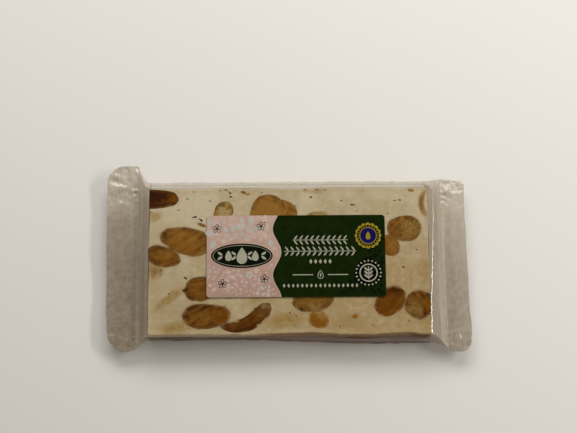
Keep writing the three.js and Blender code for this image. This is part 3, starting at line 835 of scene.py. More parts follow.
def almond_finish():
    finish, tree, shader = new_finish("almond", 0.42, Subsurface_Weight=0.1, Subsurface_Scale=0.0008,
                                      Specular_IOR_Level=0.03)
    shader.inputs["Subsurface Radius"].default_value = (1.0, 0.45, 0.12)
    own, base = stored(tree, "nut_frame")["Vector"], stored(tree, "nut_tone")["Fac"]
    lines_space = add_node(tree, "ShaderNodeMapping", Vector=own, Scale=LINES_SQUEEZE)
    lines = noise(tree, lines_space.outputs["Vector"], 1.0, 2.5, 0.5)
    clouds = noise(tree, own, 2.6, 3)
    mottled = combine(tree, "ADD", remap(tree, lines, 0.3, 0.7, -0.26, 0.26),
                      remap(tree, clouds, 0.3, 0.7, -0.2, 0.2), clamp=False)
    coloured = blend_colours(tree, combine(tree, "ADD", base, mottled), NUT_DEEP, NUT_LIGHT)

    patches = stored(tree, "nut_patches")
    parts = add_node(tree, "ShaderNodeSeparateColor", Color=patches["Color"])
    fibre_space = add_node(tree, "ShaderNodeMapping", Vector=own, Scale=FIBRE_SQUEEZE)
    grain = noise(tree, fibre_space.outputs["Vector"], 0.75, 5, 0.75)
    fibres = combine(tree, "ADD", remap(tree, grain, 0.32, 0.68, -0.5, 0.5), base)
    flesh = blend_colours(tree, fibres, FLESH_DEEP, FLESH_LIGHT)
    coloured = blend_colours(tree, parts.outputs["Blue"], coloured, AMBER)
    coloured = blend_colours(tree, parts.outputs["Red"], coloured, flesh)
    coloured = blend_colours(tree, parts.outputs["Green"], coloured, SKIN_DARK)
    coloured = blend_colours(tree, patches["Alpha"], coloured, SMEAR)
    tree.links.new(coloured, shader.inputs["Base Color"])
    tree.links.new(remap(tree, grain, 0.3, 0.7, 0.34, 0.55), shader.inputs["Roughness"])
    bump(tree, shader, blend_colours(tree, parts.outputs["Red"], lines, grain), 0.08)
    return finish


# %% [markdown]
# ## Setting the almonds
# Each nut is now made, kept to the inside of the slab and given relief on its cut face: fine
# grooves along the nut, a rim that falls away slightly, and pits where the flesh is broken. The
# cut faces are split once more first, so that the relief is real shape. The printed line says
# how far each finished nut differs from the box of the node that it stands for.

# %% Frame, patches and relief of a nut
RELIEF = {"grooves": 0.04, "rim": 0.015, "pits": 0.42}
PATCH = {"ragged": 0.22, "full": 0.55, "gone": 1.2}   # its uneven edge, in shares of its reach
RIM = {"skin": 0.05, "smear": 0.42, "uneven": 0.4,    # the usual strength of skin and smear
       "skin_from": (0.84, 0.95), "smear_width": 1.9}
CUT = {"facing": 0.8, "depth": 0.9, "rim": 0.3}       # how square to the knife, and mm below the cut
NUTS_APART = 31.0                                     # between two nuts in the noise, so none are alike


def in_nut(nut, points):
    """Points as the nut sees them: millimetres along and across it, and shares of its half sizes."""
    turn, middle = nut_place(nut)
    own = (points - middle) @ turn.T
    along, across = own[:, 0], own[:, 1]
    if "bend" in nut:
        bend = nut["bend"]
        sign = np.sign(bend)
        angle = np.arctan2(along * sign, (bend - across) * sign)
        along, across = angle * bend, bend - sign * np.hypot(along, bend - across)
    share_x = along / (nut["length"] / 2)
    taper = 1 - nut.get("point", NUT["point"]) * np.clip(share_x, -1, 1)
    share_y = across / (nut["width"] / 2) / taper
    return along, across, share_x, share_y


def patch_strengths(nut, share_x, share_y, wobble):
    """How much flesh, dark skin, amber and smeared nougat there is at each point."""
    strengths = {kind: 0 * share_x for kind in ("flesh", "dark", "amber", "smear")}
    for kind, x, y, reach, strength in nut.get("paint", ()):
        distance = np.hypot(share_x - x, share_y - y) + PATCH["ragged"] * wobble
        spot = strength * (1 - smooth_step(distance, PATCH["full"] * reach, PATCH["gone"] * reach))
        strengths[kind] = np.maximum(strengths[kind], spot)
    return strengths


def cut_face(nut, points, normals):
    """Which points lie on the face that the knife cut, the way it faces, and how far out each is."""
    if "side" in nut:
        outward = np.array((0.0, nut["side"], 0.0))
    else:
        outward = np.array((0.0, 0.0, -1.0 if nut.get("below") else 1.0))
    height = points @ outward
    on_face = (normals @ outward > CUT["facing"]) & (height > height.max() - CUT["depth"])
    return on_face, outward, height


def split_cut_face(thing, nut):
    """Splits the faces of the cut section in four."""
    work = bmesh.new()
    work.from_mesh(thing.data)
    work.normal_update()
    normals = np.array([face.normal for face in work.faces])
    middles = np.array([face.calc_center_median() for face in work.faces]) / MM - np.array(MIDDLE)
    on_face, *_ = cut_face(nut, middles, normals)
    edges = {edge for face, wanted in zip(work.faces, on_face) if wanted for edge in face.edges}
    bmesh.ops.subdivide_edges(work, edges=list(edges), cuts=1, use_grid_fill=True)
    bmesh.ops.triangulate(work, faces=[face for face in work.faces if len(face.verts) > 4])
    bmesh.ops.dissolve_degenerate(work, dist=1e-7, edges=work.edges)
    flaps = [face for face in work.faces if sum(edge.is_boundary for edge in face.edges) > 1]
    bmesh.ops.delete(work, geom=flaps, context="FACES")
    work.to_mesh(thing.data)
    work.free()
    thing.data.validate()


def dress_nut(thing, nut, seed):
    """Gives a cut nut its relief, its frame and its patches."""
    split_cut_face(thing, nut)
    points = points_of(thing)
    normals = np.zeros(len(points) * 3)
    thing.data.vertices.foreach_get("normal", normals)
    along, across, share_x, share_y = in_nut(nut, points)
    turn = np.arctan2(share_y, share_x)
    rho = np.hypot(share_x, share_y) / lumps(nut, turn)
    on_face, outward, height = cut_face(nut, points, normals.reshape(-1, 3))
    on_face |= (height > height.max() - CUT["rim"]) & (rho > 0.9)
    patches = patch_strengths(nut, share_x, share_y, hills(along, across, 1.4, seed + 1))
    ragged = rho + 0.05 * hills(along, across, 0.7, seed + 3)
    skin = nut.get("skin", RIM["skin"]) + RIM["uneven"] * hills(turn * 1.6, 0 * turn, 1.0, seed + 4)
    skin = 0.7 * np.clip(skin, 0, 1) * smooth_step(ragged, *RIM["skin_from"])
    patches["dark"] = np.maximum(patches["dark"], skin)
    smear = nut.get("smear", RIM["smear"]) + RIM["uneven"] * hills(along, across, 2.4, seed + 5)
    smear = np.clip(smear, 0, 0.9) * smooth_step(ragged, 0.98 - RIM["smear_width"] / nut["width"], 1.05)
    smear = np.maximum(smear, patches["smear"])
    pits = np.clip(hills(along, across, 0.8, seed + 2) - 0.15, 0, 1)
    depth = RELIEF["grooves"] * (1 + hills(along, across * 5, 2.6, seed)) / 2
    depth = depth + RELIEF["rim"] * smooth_step(rho, 0.85, 1.0)
    depth = depth + RELIEF["pits"] * pits * patches["flesh"] * (1 - smooth_step(rho, 0.8, 1.0))
    points = points - np.outer(depth * on_face, outward)
    thing.data.vertices.foreach_set("co", ((points + np.array(MIDDLE)) * MM).ravel())
    lean = math.radians(nut.get("grain", 8))
    with_grain = along * math.cos(lean) + across * math.sin(lean)
    over_grain = across * math.cos(lean) - along * math.sin(lean)
    grain = nut.get("fine", 1.0) * np.stack([with_grain, over_grain, points[:, 2]], axis=1)
    store(thing, "nut_frame", "FLOAT_VECTOR", grain + (0, 0, NUTS_APART * seed))
    # A lighter middle and a darker rim: partly the nut's own colour, partly a painted glow of light through
    # the nut.
    store(thing, "nut_tone", "FLOAT", nut["tone"] + 0.2 - 0.4 * np.clip(rho, 0, 1) ** 3)
    store(thing, "nut_patches", "FLOAT_COLOR",
          np.stack([patches["flesh"], patches["dark"], patches["amber"], smear], axis=1))
    smooth(thing, 35)


def smooth(thing, angle):
    """Smooth shading, with a crisp edge wherever the mesh turns by more than the angle."""
    thing.data.shade_smooth()
    thing.data.set_sharp_from_angle(angle=math.radians(angle))
    thing.data.update()


# %% Cut the nuts, then the slab
nougat = nougat_finish()
almond = almond_finish()
slab = slab_blank("nougat_slab", nougat)
knife = slab_blank("knife", nougat)
blank_faces = len(slab.data.polygons)
pockets, furthest = {}, 0.0
for seed, (name, nut) in enumerate(NUTS.items()):
    body = nut_body(f"nut_{name}", nut, 0, almond)
    carve(body, "INTERSECT", [knife])
    centre = nut_place(nut)[1]
    neighbours = []
    for other, pocket in pockets.items():
        apart = np.linalg.norm(nut_place(NUTS[other])[1] - centre)
        if apart < (nut["length"] + NUTS[other]["length"]) / 2:
            neighbours.append(pocket)
    if neighbours:
        carve(body, "DIFFERENCE", neighbours)
    pockets[name] = nut_body(f"pocket_{name}", nut, NUT["pocket"])
    dress_nut(body, nut, seed)
    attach(body, "root")
    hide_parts(f"almond_{name}")
    box = np.array([points_of(body).min(0), points_of(body).max(0)]) + np.array(MIDDLE)
    node_box = np.array([list(corner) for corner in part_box(f"almond_{name}")]) / MM
    furthest = max(furthest, abs(box - node_box)[:, :2].max())
print(len(pockets), "nuts set, each side at most", round(float(furthest), 2), "mm from its node's box")

# %% Crumbs
CRUMB_SEED = 60                                       # past the seeds of the nuts
crumb_bodies, crumb_pockets = [], []
for seed, crumb in enumerate(CRUMBS):
    crumb = dict(crumb, depth=CRUMB_DEPTH, point=0)
    body = nut_body(f"crumb_{seed}", crumb, 0, almond)
    carve(body, "INTERSECT", [knife])
    dress_nut(body, crumb, CRUMB_SEED + seed)
    crumb_bodies.append(body)
    crumb_pockets.append(nut_body(f"crumb_pocket_{seed}", crumb, NUT["pocket"] / 2))
bpy.ops.object.select_all(action="DESELECT")
for body in crumb_bodies:
    body.select_set(True)
bpy.context.view_layer.objects.active = crumb_bodies[0]
bpy.ops.object.join()
crumbs = crumb_bodies[0]
crumbs.name = "almond_crumbs"
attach(crumbs, "root")
print(len(CRUMBS), "crumbs set,", len(crumbs.data.polygons), "faces")

# %% Holes, and the slab cut for all of them
holes = object_of("holes", *joined(hole_balls()), nougat)
carve(slab, "DIFFERENCE", [*pockets.values(), *crumb_pockets, holes])
throw_away([knife, holes, *pockets.values(), *crumb_pockets])
print("pores under the skin left out:", keep_largest_part(slab))

# %% [markdown]
# The nougat's colour is warmer towards the front and the right, honey lies in patches, and syrup
# creeps out round the nuts. Its cut sides are made warmer and more honeyed, partly as the
# nougat's own colour and partly as painted shade for the shaded front side. A painted image
# would have to be fitted to the cut mesh. Here every point of the mesh keeps four numbers for the
# shader instead: warmth, honey, stain, and how deep it lies in a hole, which darkens the holes
# as painted shade.

# %% What the slab's points keep
HALO = {"reach": 1.1, "strength": 0.45, "size": 1.8}  # the stain round each nut
slab_points = points_of(slab)
x, y, z = slab_points.T
toward_right = 0.25 + 0.75 * smooth_step(x, -45, 40)
warmth = 0.32 + 0.85 * smooth_step(-y, -18, 12) * toward_right - 0.35 * soft_spot(x, y, -46, 26, 26, 15, 0)
warmth = warmth + 0.2 * hills(x, y, 8, 21) + 0.1 * hills(x, y, 3, 22)
# The cut sides are made warmer and more honeyed: partly the nougat's own colour, partly painted shade for the
# shaded front side.
warm_shaded_sides = smooth_step(BAR["height"] - z, 0.3, 1.0) * ((abs(x) > HALF_X - 0.6) | (abs(y) > HALF_Y - 2.2))
warmth = warmth + 0.5 * warm_shaded_sides
honey, stain, near_nut = 0.3 * warm_shaded_sides * (1 + hills(x + y, z, 5, 23)), 0 * x, 0 * x
for *spot, strength in HONEY_PATCHES:
    honey = np.maximum(honey, strength * soft_spot(x, y, *spot))
for *spot, strength in STAINS:
    stain = np.maximum(stain, strength * soft_spot(x, y, *spot) * (0.8 + 0.5 * hills(x, y, 0.9, 17)))
for nut in NUTS.values():
    *_, share_x, share_y = in_nut(nut, slab_points)
    turn, middle = nut_place(nut)
    depth_share = ((slab_points - middle) @ turn.T)[:, 2] / nut["depth"]
    rho = np.hypot(share_x, share_y) / lumps(nut, np.arctan2(share_y, share_x))
    away = (np.hypot(rho, depth_share) - 1) * nut["width"] / 2
    near_nut = np.maximum(near_nut, np.clip(1 - away / HALO["reach"], 0, 1))
halo = near_nut**2 * np.clip(0.45 + 0.6 * hills(x, y, HALO["size"], 18), 0, 1)
inner = (abs(x) < HALF_X - 1.2) & (abs(y) < HALF_Y - 2.2) & (z > 6)
store(slab, "warmth", "FLOAT", np.clip(warmth, 0, 1))
store(slab, "honey", "FLOAT", honey)
store(slab, "stain", "FLOAT", np.clip(np.maximum(stain, HALO["strength"] * halo), 0, 1))
# Points a little down in the holes, away from nuts, take the holes' painted shade.
store(slab, "pit_shade", "FLOAT", inner * (near_nut < 0.95) * smooth_step(BAR["height"] - z, 0.12, 0.5))
smooth(slab, 32)
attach(slab, "root")
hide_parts("nougat")
print("slab:", blank_faces, "faces before cutting,", len(slab.data.polygons), "after")

# %% [markdown]
# ## The film
# A flow pack is one tube of film. Over the bar it is drawn tight, beside the bar it stands away
# and falls to the table, and at each end its two plies come together in a flat seal that is
# pressed between ribbed jaws. The corners of the seals stick out as ears, because the film that
# went up the bar's sides has nowhere else to go. Modelling such a thin tube by hand is slow, so
# it is lofted: one ring of points round the pack at each of many stations along it. The ring
# changes from the bar's section to the flat seal, and soft wrinkles are added where film is
# gathered. The tube is closed at its two tips, so it is one watertight skin.

# %% Measures of the film
FILM = {"top": 12.15, "base": 0.06, "shoulder": 0.6, "lap": 0.95, "drop": 0.12, "tuck": 0.8,
        "ply": 0.12, "seal_height": 6.0}
SIDE_FALL = [(0.72, 6.8), (1.0, 1.6), (0.92, 0.25)]   # shares of the slack and heights down the side
LEFT = {
    "direction": -1, "gusset": 5.0, "tip": 82.3, "skew": 0.01, "crease": (0.3, 0.3),
    "back": {"slack": 5, "ear": 6.6, "rise": (63.2, 68.5), "corner": (8, 9), "lift": 1.6},
    "front": {"slack": 0.3, "ear": 6.3, "rise": (55, 75), "corner": (9.5, 11), "lift": 0},
}
RIGHT = {
    "direction": 1, "gusset": 7.0, "tip": 80.7, "skew": 0.015, "crease": (-0.35, 2.3),
    "back": {"slack": 5, "ear": -0.8, "rise": (70, 79), "corner": (1.4, 1.6), "lift": 0},
    "front": {"slack": 2.6, "ear": 4.6, "rise": (60, 74), "corner": (4.2, 6.5), "lift": 0},
}
SLACK_RUN = (-30, 40)
CRIMP = {"depth": 0.035, "pitch": 1.25, "fade_in": 0.8, "fade_out": (1.0, 0.4)}
SEAL_WAVE = {"height": 0.5, "length": 48.0, "curl": (22, 42)}
ACROSS, DOWN = ((120, 16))


def body_slack(x, side):
    """How far the film stands off the bar's side, which changes from one end to the other."""
    share = smooth_step(x, *SLACK_RUN)
    return LEFT[side]["slack"] * (1 - share) + RIGHT[side]["slack"] * share


def seal_reach(end, side, distance):
    """How far the film reaches from the pack's middle line on one side of an end."""
    rounding_along, rounding_across = end[side]["corner"]
    into = np.clip((distance - (end["tip"] - rounding_along)) / rounding_along, 0, 1)
    rounding = rounding_across * (1 - math.sqrt(1 - into * into))
    ear = end[side]["ear"] * float(smooth_step(distance, *end[side]["rise"]))
    return HALF_Y + end[side]["slack"] + ear - rounding


def through(points, count):
    """A smooth curve through a few points, as a given number of points without the first."""
    points = np.array([2 * np.array(points[0]) - points[1], *points, 2 * np.array(points[-1]) - points[-2]])
    places = np.linspace(0, len(points) - 3, count + 1)[1:]
    result = []
    for place in places:
        start = min(int(place), len(points) - 4)
        t = place - start
        a, b, c, d = points[start:start + 4]
        result.append(0.5 * ((2 * b) + (c - a) * t + (2 * a - 5 * b + 4 * c - d) * t**2
                             + (3 * b - a - 3 * c + d) * t**3))
    return np.array(result)


# %% Rings of the film
def film_ring(upper, lower, back_side, front_side, top, base):
    """y and z once round the pack: upper ply to the back, down, lower ply to the front, up."""
    across = np.linspace(0, 1, ACROSS + 1)
    over = np.stack([upper[0] + (upper[1] - upper[0]) * across, np.full(ACROSS + 1, top)], axis=1)
    under = np.stack([lower[0] + (lower[1] - lower[0]) * across, np.full(ACROSS + 1, base)], axis=1)
    return np.concatenate([over, back_side[:-1], under, front_side[:-1]])


def body_ring(x):
    """The film round the bar."""
    shoulder = HALF_Y + FILM["shoulder"]
    sides = {}
    for side, sign in (("back", 1), ("front", -1)):
        out = HALF_Y + body_slack(x, side)
        fall = [(sign * shoulder, FILM["top"] - FILM["drop"])]
        for share, height in SIDE_FALL:
            fall.append((sign * max(shoulder, shoulder + (out - shoulder) * share), height))
        sides[side] = [(sign * (shoulder - FILM["lap"]), FILM["top"]), *fall]
    back_end, front_end = sides["back"][-1][0] - FILM["tuck"], sides["front"][-1][0] + FILM["tuck"]
    back = through([*sides["back"], (back_end, FILM["base"])], DOWN)
    front = through([*sides["front"], (front_end, FILM["base"])], DOWN)[::-1]
    front_side = np.concatenate([front[1:], front[-1:]])
    return film_ring((FILM["lap"] - shoulder, shoulder - FILM["lap"]), (back_end, front_end),
                     back, front_side, FILM["top"], FILM["base"])


def seal_ring(end, distance):
    """The two plies pressed together."""
    ply, height = FILM["ply"], FILM["seal_height"]
    back, front = (sign * seal_reach(end, side, distance) for side, sign in (("back", 1), ("front", -1)))
    bend = np.linspace(0, np.pi, DOWN + 2)[1:-1]
    fold = np.stack([ply * np.sin(bend), height + ply * np.cos(bend)], axis=1)
    back_side = fold + (back - ply, 0)
    front_side = np.stack([front + ply - fold[:, 0], fold[:, 1]], axis=1)[::-1]
    back_side, front_side = (np.concatenate([side, side[-1:]]) for side in (back_side, front_side))
    return film_ring((front + ply, back - ply), (back - ply, front + ply),
                     back_side[:DOWN], front_side[:DOWN], height + ply, height - ply)


def crease(end, y):
    """Where the upper ply leaves the level of the bar's top, measured from the bar's end."""
    front, back = end["crease"]
    wobble = 0.16 * hills(y, 0 * y, 9, 84) + 0.06 * hills(y, 0 * y, 2.6, 85)
    return HALF_X + front + (back - front) * np.clip((y + 30) / 60, 0, 1) + wobble * (end["direction"] > 0)


# %% Wrinkles of the ends
EAR_WRINKLES = {"height": 0.5, "crinkle": 0.25, "in_seal": 0.07, "front": 0.6}
FOLD = {"slope": 0.345, "sway": 0.035, "width": 0.42,  # the narrow band where the film turns down
        "below": 0.3, "curve": 1.2, "stray": 0.35}    # where the lower ply turns up, and the slope after
PLEATS = {"height": 0.3, "fine": 0.12, "tight": 0.02}  # down the sides, and the waves of the tight film


def wrinkle(end, distance, y):
    """Height of the soft wrinkles that both plies share, at one station of an end."""
    back = y > 0
    corner_y = np.where(back, HALF_Y, -HALF_Y)
    away_x, away_y = distance - HALF_X, abs(y - corner_y) * np.where(abs(y) > HALF_Y, 1, -1)
    angle, radius = np.arctan2(away_y, max(away_x, 0.01)), np.hypot(away_x, away_y)
    seed = 40 + 10 * (end["direction"] > 0)
    ear = np.where(back, smooth_step(y, 23, 33), EAR_WRINKLES["front"] * smooth_step(-y, 27, 36))
    rays = hills(angle * 7, radius / 3.5, 1.0, seed) * smooth_step(radius, 0.5, 5)
    lift = np.where(back, end["back"]["lift"], end["front"]["lift"])
    curl = lift * smooth_step(abs(y), *SEAL_WAVE["curl"])
    wave = SEAL_WAVE["height"] * np.sin(2 * np.pi * y / SEAL_WAVE["length"])
    crinkle = sum(share * (1 - 2 * abs(hills(distance + 0.4 * y, y - 0.3 * distance, size, seed + number)))
                  for number, (share, size) in enumerate(((1.0, 2.4), (0.5, 1.2)), start=1))
    slack = 0.16 * hills(distance + 0 * y, y * 0.35, 3.6, seed + 3)
    crinkle = crinkle * (EAR_WRINKLES["in_seal"] + ear) * EAR_WRINKLES["crinkle"]
    return curl + wave + ear * EAR_WRINKLES["height"] * rays + crinkle + slack


def crimp(end, distance, y):
    """The ribs that the jaws press into the seal."""
    start = HALF_X + end["gusset"]
    first, last = (end["tip"] - margin for margin in CRIMP["fade_out"])
    inside = smooth_step(distance, start, start + CRIMP["fade_in"]) * (1 - smooth_step(distance, first, last))
    strength = 0.55 + 0.45 * hills(y, distance + 0 * y, 9.0, 71)
    rib = math.sin(2 * math.pi * (distance - start) / CRIMP["pitch"])
    return CRIMP["depth"] * float(inside) * strength * rib


def end_ring(end, distance):
    """A ring of one end, between the bar's end and the tip of the seal."""
    body, seal = body_ring(end["direction"] * HALF_X), seal_ring(end, distance)
    upper = np.arange(len(body)) <= ACROSS
    start = np.where(upper, crease(end, body[:, 0]), HALF_X + FOLD["below"])
    past, run = np.clip(distance - start, 0, None), HALF_X + end["gusset"] - start
    slope = FOLD["slope"] + FOLD["sway"] * hills(body[:, 0], 0, 11, 83)
    band = np.where(upper, slope * np.minimum(past, FOLD["width"]), 0)
    flat = np.clip((past - FOLD["width"]) / (run - FOLD["width"]), 0, 1) ** FOLD["curve"]
    y = body[:, 0] + (seal[:, 0] - body[:, 0]) * flat
    shared = wrinkle(end, distance, y) + crimp(end, distance, y)
    z = body[:, 1] - band + (seal[:, 1] + shared - body[:, 1] + band) * flat
    x = end["direction"] * distance - flat * end["skew"] * y + flat * FOLD["stray"] * hills(y, 0 * y, 7.0, 91)
    return np.stack([x, y, z], axis=1)


# %% Stations along the film
def stretch(start, end, step):
    """Places from the start on, about a step apart, without the end."""
    return np.linspace(start, end, max(2, round(abs(end - start) / step)), endpoint=False)


FINE = 0.22
COARSE = 0.4
left_far = np.concatenate([stretch(LEFT["tip"], HALF_X + LEFT["gusset"], FINE),
                           stretch(HALF_X + LEFT["gusset"], HALF_X + FOLD["below"], COARSE)])
right_far = np.concatenate([stretch(HALF_X - 0.7, HALF_X + 3.2, 0.6 * FINE),
                            stretch(HALF_X + 3.2, HALF_X + RIGHT["gusset"], COARSE),
                            stretch(HALF_X + RIGHT["gusset"], RIGHT["tip"], FINE), [RIGHT["tip"]]])
body_places = np.linspace(-HALF_X, HALF_X - 0.8, 100)


def film_over_bar(x):
    """A ring of the body, with slight tight waves in the plies and soft pleats down the sides."""
    ring = body_ring(x)
    y, z = ring[:, 0], ring[:, 1]
    level = np.minimum(abs(z - FILM["top"]), abs(z - FILM["base"])) < 0.01
    large, fine = hills(x + 0 * y, z * 0.3, 3.0, 55), hills(x + 0 * y, z, 1.4, 56)
    pleats = PLEATS["height"] * large + PLEATS["fine"] * fine
    from_end = smooth_step(HALF_X - abs(x), 0, 4)
    y = y + np.where(level, 0, pleats * np.sign(y) * from_end * smooth_step(FILM["top"] - z, 0, 3))
    waves = PLEATS["tight"] * (1 + hills(x + 0 * y, y, 4.0, 57)) * from_end
    z = z + np.where(level & (z > FILM["seal_height"]), waves, 0)
    return np.stack([np.full_like(y, x), y, z], axis=1)


film_rings = [end_ring(LEFT, distance) for distance in left_far]
film_rings += [film_over_bar(x) for x in body_places]
film_rings += [end_ring(RIGHT, distance) for distance in right_far]
ring_size = len(film_rings[0])
print("film:", len(film_rings), "rings of", ring_size, "points")

# %% [markdown]
# ## Finish of the film
# Clear film is hardly there where it lies on something: it only adds gloss. Where it hangs free
# it looks faintly milky, and where two crumpled plies are pressed together it is a warm grey
# haze with sparks of light in the wrinkles. So the tube has four finishes, each with one plain
# value for how solid it is: tight film, film down the sides, the gussets and the seals. Each
# mixes a dark and a light tone by a share that the mesh keeps. That share is partly the film's
# haze and partly painted light: lighter to the back, at the right end and on the gussets, a
# painted highlight along the front shoulder, and painted shade on the front side.

# %% Four films
FILMS = {
    "tight_film": dict(solid=0.012, roughness=0.2, crinkle=0.01, gloss=0.4,
                       low=tone(96, 92, 84), high=tone(110, 106, 98)),
    # The side film's brown dark tone shows on the front side, where it is painted shade.
    "side_film": dict(solid=0.34, roughness=0.25, crinkle=0.01, gloss=0.1,
                      low=tone(114, 58, 32), high=tone(192, 186, 162)),
    "gusset_film": dict(solid=0.55, roughness=0.1, crinkle=0.004, gloss=0.9,
                        low=tone(138, 118, 94), high=tone(190, 176, 154)),
    "sealed_film": dict(solid=0.62, roughness=0.2, crinkle=0.012, gloss=0.9,
                        low=tone(132, 112, 86), high=tone(202, 192, 172)),
}
TIGHT, SIDE, GUSSET, SEALED = range(len(FILMS))       # their numbers on the film's faces


def film_finish(name):
    look = FILMS[name]
    finish, tree, shader = new_finish(name, look["roughness"], Alpha=look["solid"],
                                      Specular_IOR_Level=look["gloss"])
    space = own_space(tree)
    clouds = remap(tree, noise(tree, space, 2.6, 4, 0.6), 0.3, 0.7, -0.16, 0.16)
    haze_and_painted_light = combine(tree, "ADD", stored(tree, "haze_and_painted_light")["Fac"], clouds)
    tree.links.new(blend_colours(tree, haze_and_painted_light, look["low"], look["high"]), shader.inputs["Base Color"])
    bump(tree, shader, noise(tree, space, 0.8, 2), look["crinkle"])
    return finish


def film_faces():
    """Faces between neighbouring rings and over the two tips, with the film that each one takes."""
    faces, kinds = [], []
    ring = np.arange(ring_size)
    after = np.roll(ring, -1)
    flat_part = (ring < ACROSS) | ((ring >= ACROSS + DOWN) & (ring < 2 * ACROSS + DOWN))
    for row in range(len(film_rings) - 1):
        here, there = row * ring_size, (row + 1) * ring_size
        faces.append(np.stack([here + ring, there + ring, there + after, here + after], axis=1))
        at_end = row < len(left_far) or row >= len(left_far) + len(body_places) - 1
        far = abs(film_rings[row][:, 0] + film_rings[row + 1][:, 0]) / 2
        end = LEFT if row < len(left_far) else RIGHT
        gusset = far < HALF_X + 0.6 * end["gusset"]
        tight = flat_part & (far < np.minimum(crease(end, film_rings[row][:, 1]), HALF_X - 0.15))
        end_kinds = np.where(tight, TIGHT, np.where(gusset, GUSSET, SEALED))
        kinds.append(end_kinds if at_end else np.where(flat_part, TIGHT, SIDE))
    caps = []
    for start, turned in ((0, False), ((len(film_rings) - 1) * ring_size, True)):
        for step in range(ACROSS):
            upper, lower = start + step, start + 2 * ACROSS + DOWN - step
            quad = (upper, upper + 1, lower - 1, lower)
            caps.append(quad[::-1] if turned else quad)
        for side in (ACROSS, 2 * ACROSS + DOWN):
            run = [start + (side + step) % ring_size for step in range(DOWN + 1)]
            caps.append(tuple(run[::-1] if turned else run))
    return np.concatenate(faces).tolist() + caps, np.concatenate(kinds + [np.full(len(caps), SEALED)])


faces, kinds = film_faces()
first_film, *other_films = (film_finish(name) for name in FILMS)
film = object_of("clear_film", np.concatenate(film_rings), faces, first_film)
for finish in other_films:
    film.data.materials.append(finish)
film.data.polygons.foreach_set("material_index", kinds.astype(np.int32))
film_points = points_of(film)
x, y, z = film_points.T
end_film = smooth_step(abs(x), HALF_X - 1, HALF_X + 1)
front_side = smooth_step(-y, HALF_Y - 2, HALF_Y) * (1 - end_film)
# Painted light: the film is lighter towards the back, where the lamp stands.
haze_and_painted_light = 0.25 + np.where(x < 0, 0.25, 0.35) * smooth_step(y, -30, 30)
# Painted shade: darker on the front side.
haze_and_painted_light = haze_and_painted_light - 0.3 * front_side * smooth_step(x, -35, 0)
# The back ears are lighter, partly crinkled haze and partly a painted reflection of the lamp; the right end
# is lighter as painted light from the lamp at the right.
haze_and_painted_light = haze_and_painted_light + np.where(x < 0, 0.5, 0.3) * smooth_step(y, 19, 30) + 0.2 * end_film * (x > 0)
gusset_end = HALF_X + np.where(x < 0, LEFT["gusset"], RIGHT["gusset"])
# Painted light: the gussets are made lighter to cancel the shade on their slopes.
haze_and_painted_light = haze_and_painted_light + 0.55 * end_film * smooth_step(-abs(x), -gusset_end - 1.5, -gusset_end + 1)
# A painted highlight along the front shoulder of the film.
front_shoulder_highlight = smooth_step(z, 10.6, 11.8) * smooth_step(-y, HALF_Y, HALF_Y + 0.4) * (1 - end_film)
haze_and_painted_light = haze_and_painted_light + front_shoulder_highlight * (0.5 + 0.4 * (x < -20))
store(film, "haze_and_painted_light", "FLOAT", np.clip(haze_and_painted_light, 0, 1))
smooth(film, 60)
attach(film, "root")
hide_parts("wrap")
print("film skin:", len(film.data.polygons), "faces")

# %% [markdown]
# ## The label
# The label is printed paper on the film: a pink field and a dark green field that meet in a
# wave, with motifs in a few inks. An image would be the quick way. Here each ink is a very thin
# layer of its own shape on the paper, which stays sharp at any distance. The motifs are plain
# ones that any confectioner could use: almonds, leaves, blossoms, a scalloped medal and rings.

# %% Outlines for printing
LABEL = {"length": 80.0, "width": 37.2, "corner": 1.5, "steps": 8, "bottom": 12.3, "top": 12.46,
         "bevel": (0.05, 0.06), "margin": 0.03}
INK_STEP = 0.012
WAVE = {"x": -8.6, "swing": 1.88, "length": 21.1, "shift": 12.4, "points": 60,
        "line": 0.14, "line_inset": 0.1}              # half the width of its pale line, and its end


def disc(x, y, radius, sides=40):
    angle = np.linspace(0, 2 * np.pi, sides, endpoint=False)
    return np.stack([x + radius * np.cos(angle), y + radius * np.sin(angle)], axis=1)


def oval(x, y, half_x, half_y, turn=0, sides=28):
    angle = np.linspace(0, 2 * np.pi, sides, endpoint=False)
    return turned(np.stack([half_x * np.cos(angle), half_y * np.sin(angle)], axis=1), x, y, turn)


def turned(points, x, y, turn):
    c, s = math.cos(math.radians(turn)), math.sin(math.radians(turn))
    return points @ np.array([(c, s), (-s, c)]) + (x, y)


def leaf(x, y, length, width, turn):
    """A leaf with both ends pointed, growing from (x, y)."""
    share = np.linspace(0, 1, 9)
    side = width / 2 * np.sin(np.pi * share) ** 0.8
    outline = np.concatenate([np.stack([length * share, side], axis=1),
                              np.stack([length * share[-2:0:-1], -side[-2:0:-1]], axis=1)])
    return turned(outline, x, y, turn)


def bar(x, y, length, width):
    half = np.array([(-length, -width), (length, -width), (length, width), (-length, width)]) / 2
    return half + (x, y)


def nut_outline(x, y, length, width, turn):
    """An almond seen from the side: round at one end and pointed at the other."""
    angle = np.linspace(0, 2 * np.pi, 28, endpoint=False)
    along = np.cos(angle)
    across = np.sin(angle) * (1 - 0.42 * along) * np.where(along > 0, 1 - 0.35 * along**3, 1)
    return turned(np.stack([along * length / 2, across * width / 2], axis=1), x, y, turn)


def ring_of(outline, thickness):
    """The strip just inside an outline, as an outer and an inner outline."""
    middle = outline.mean(0)
    reach = np.linalg.norm(outline - middle, axis=1, keepdims=True)
    return outline, middle + (outline - middle) * (1 - thickness / reach)


def on_label(outline, height):
    """The points of an outline in the label's place on the slab, at a height."""
    return [(x + LABEL_PLACE.x, y + LABEL_PLACE.y, height) for x, y in outline]


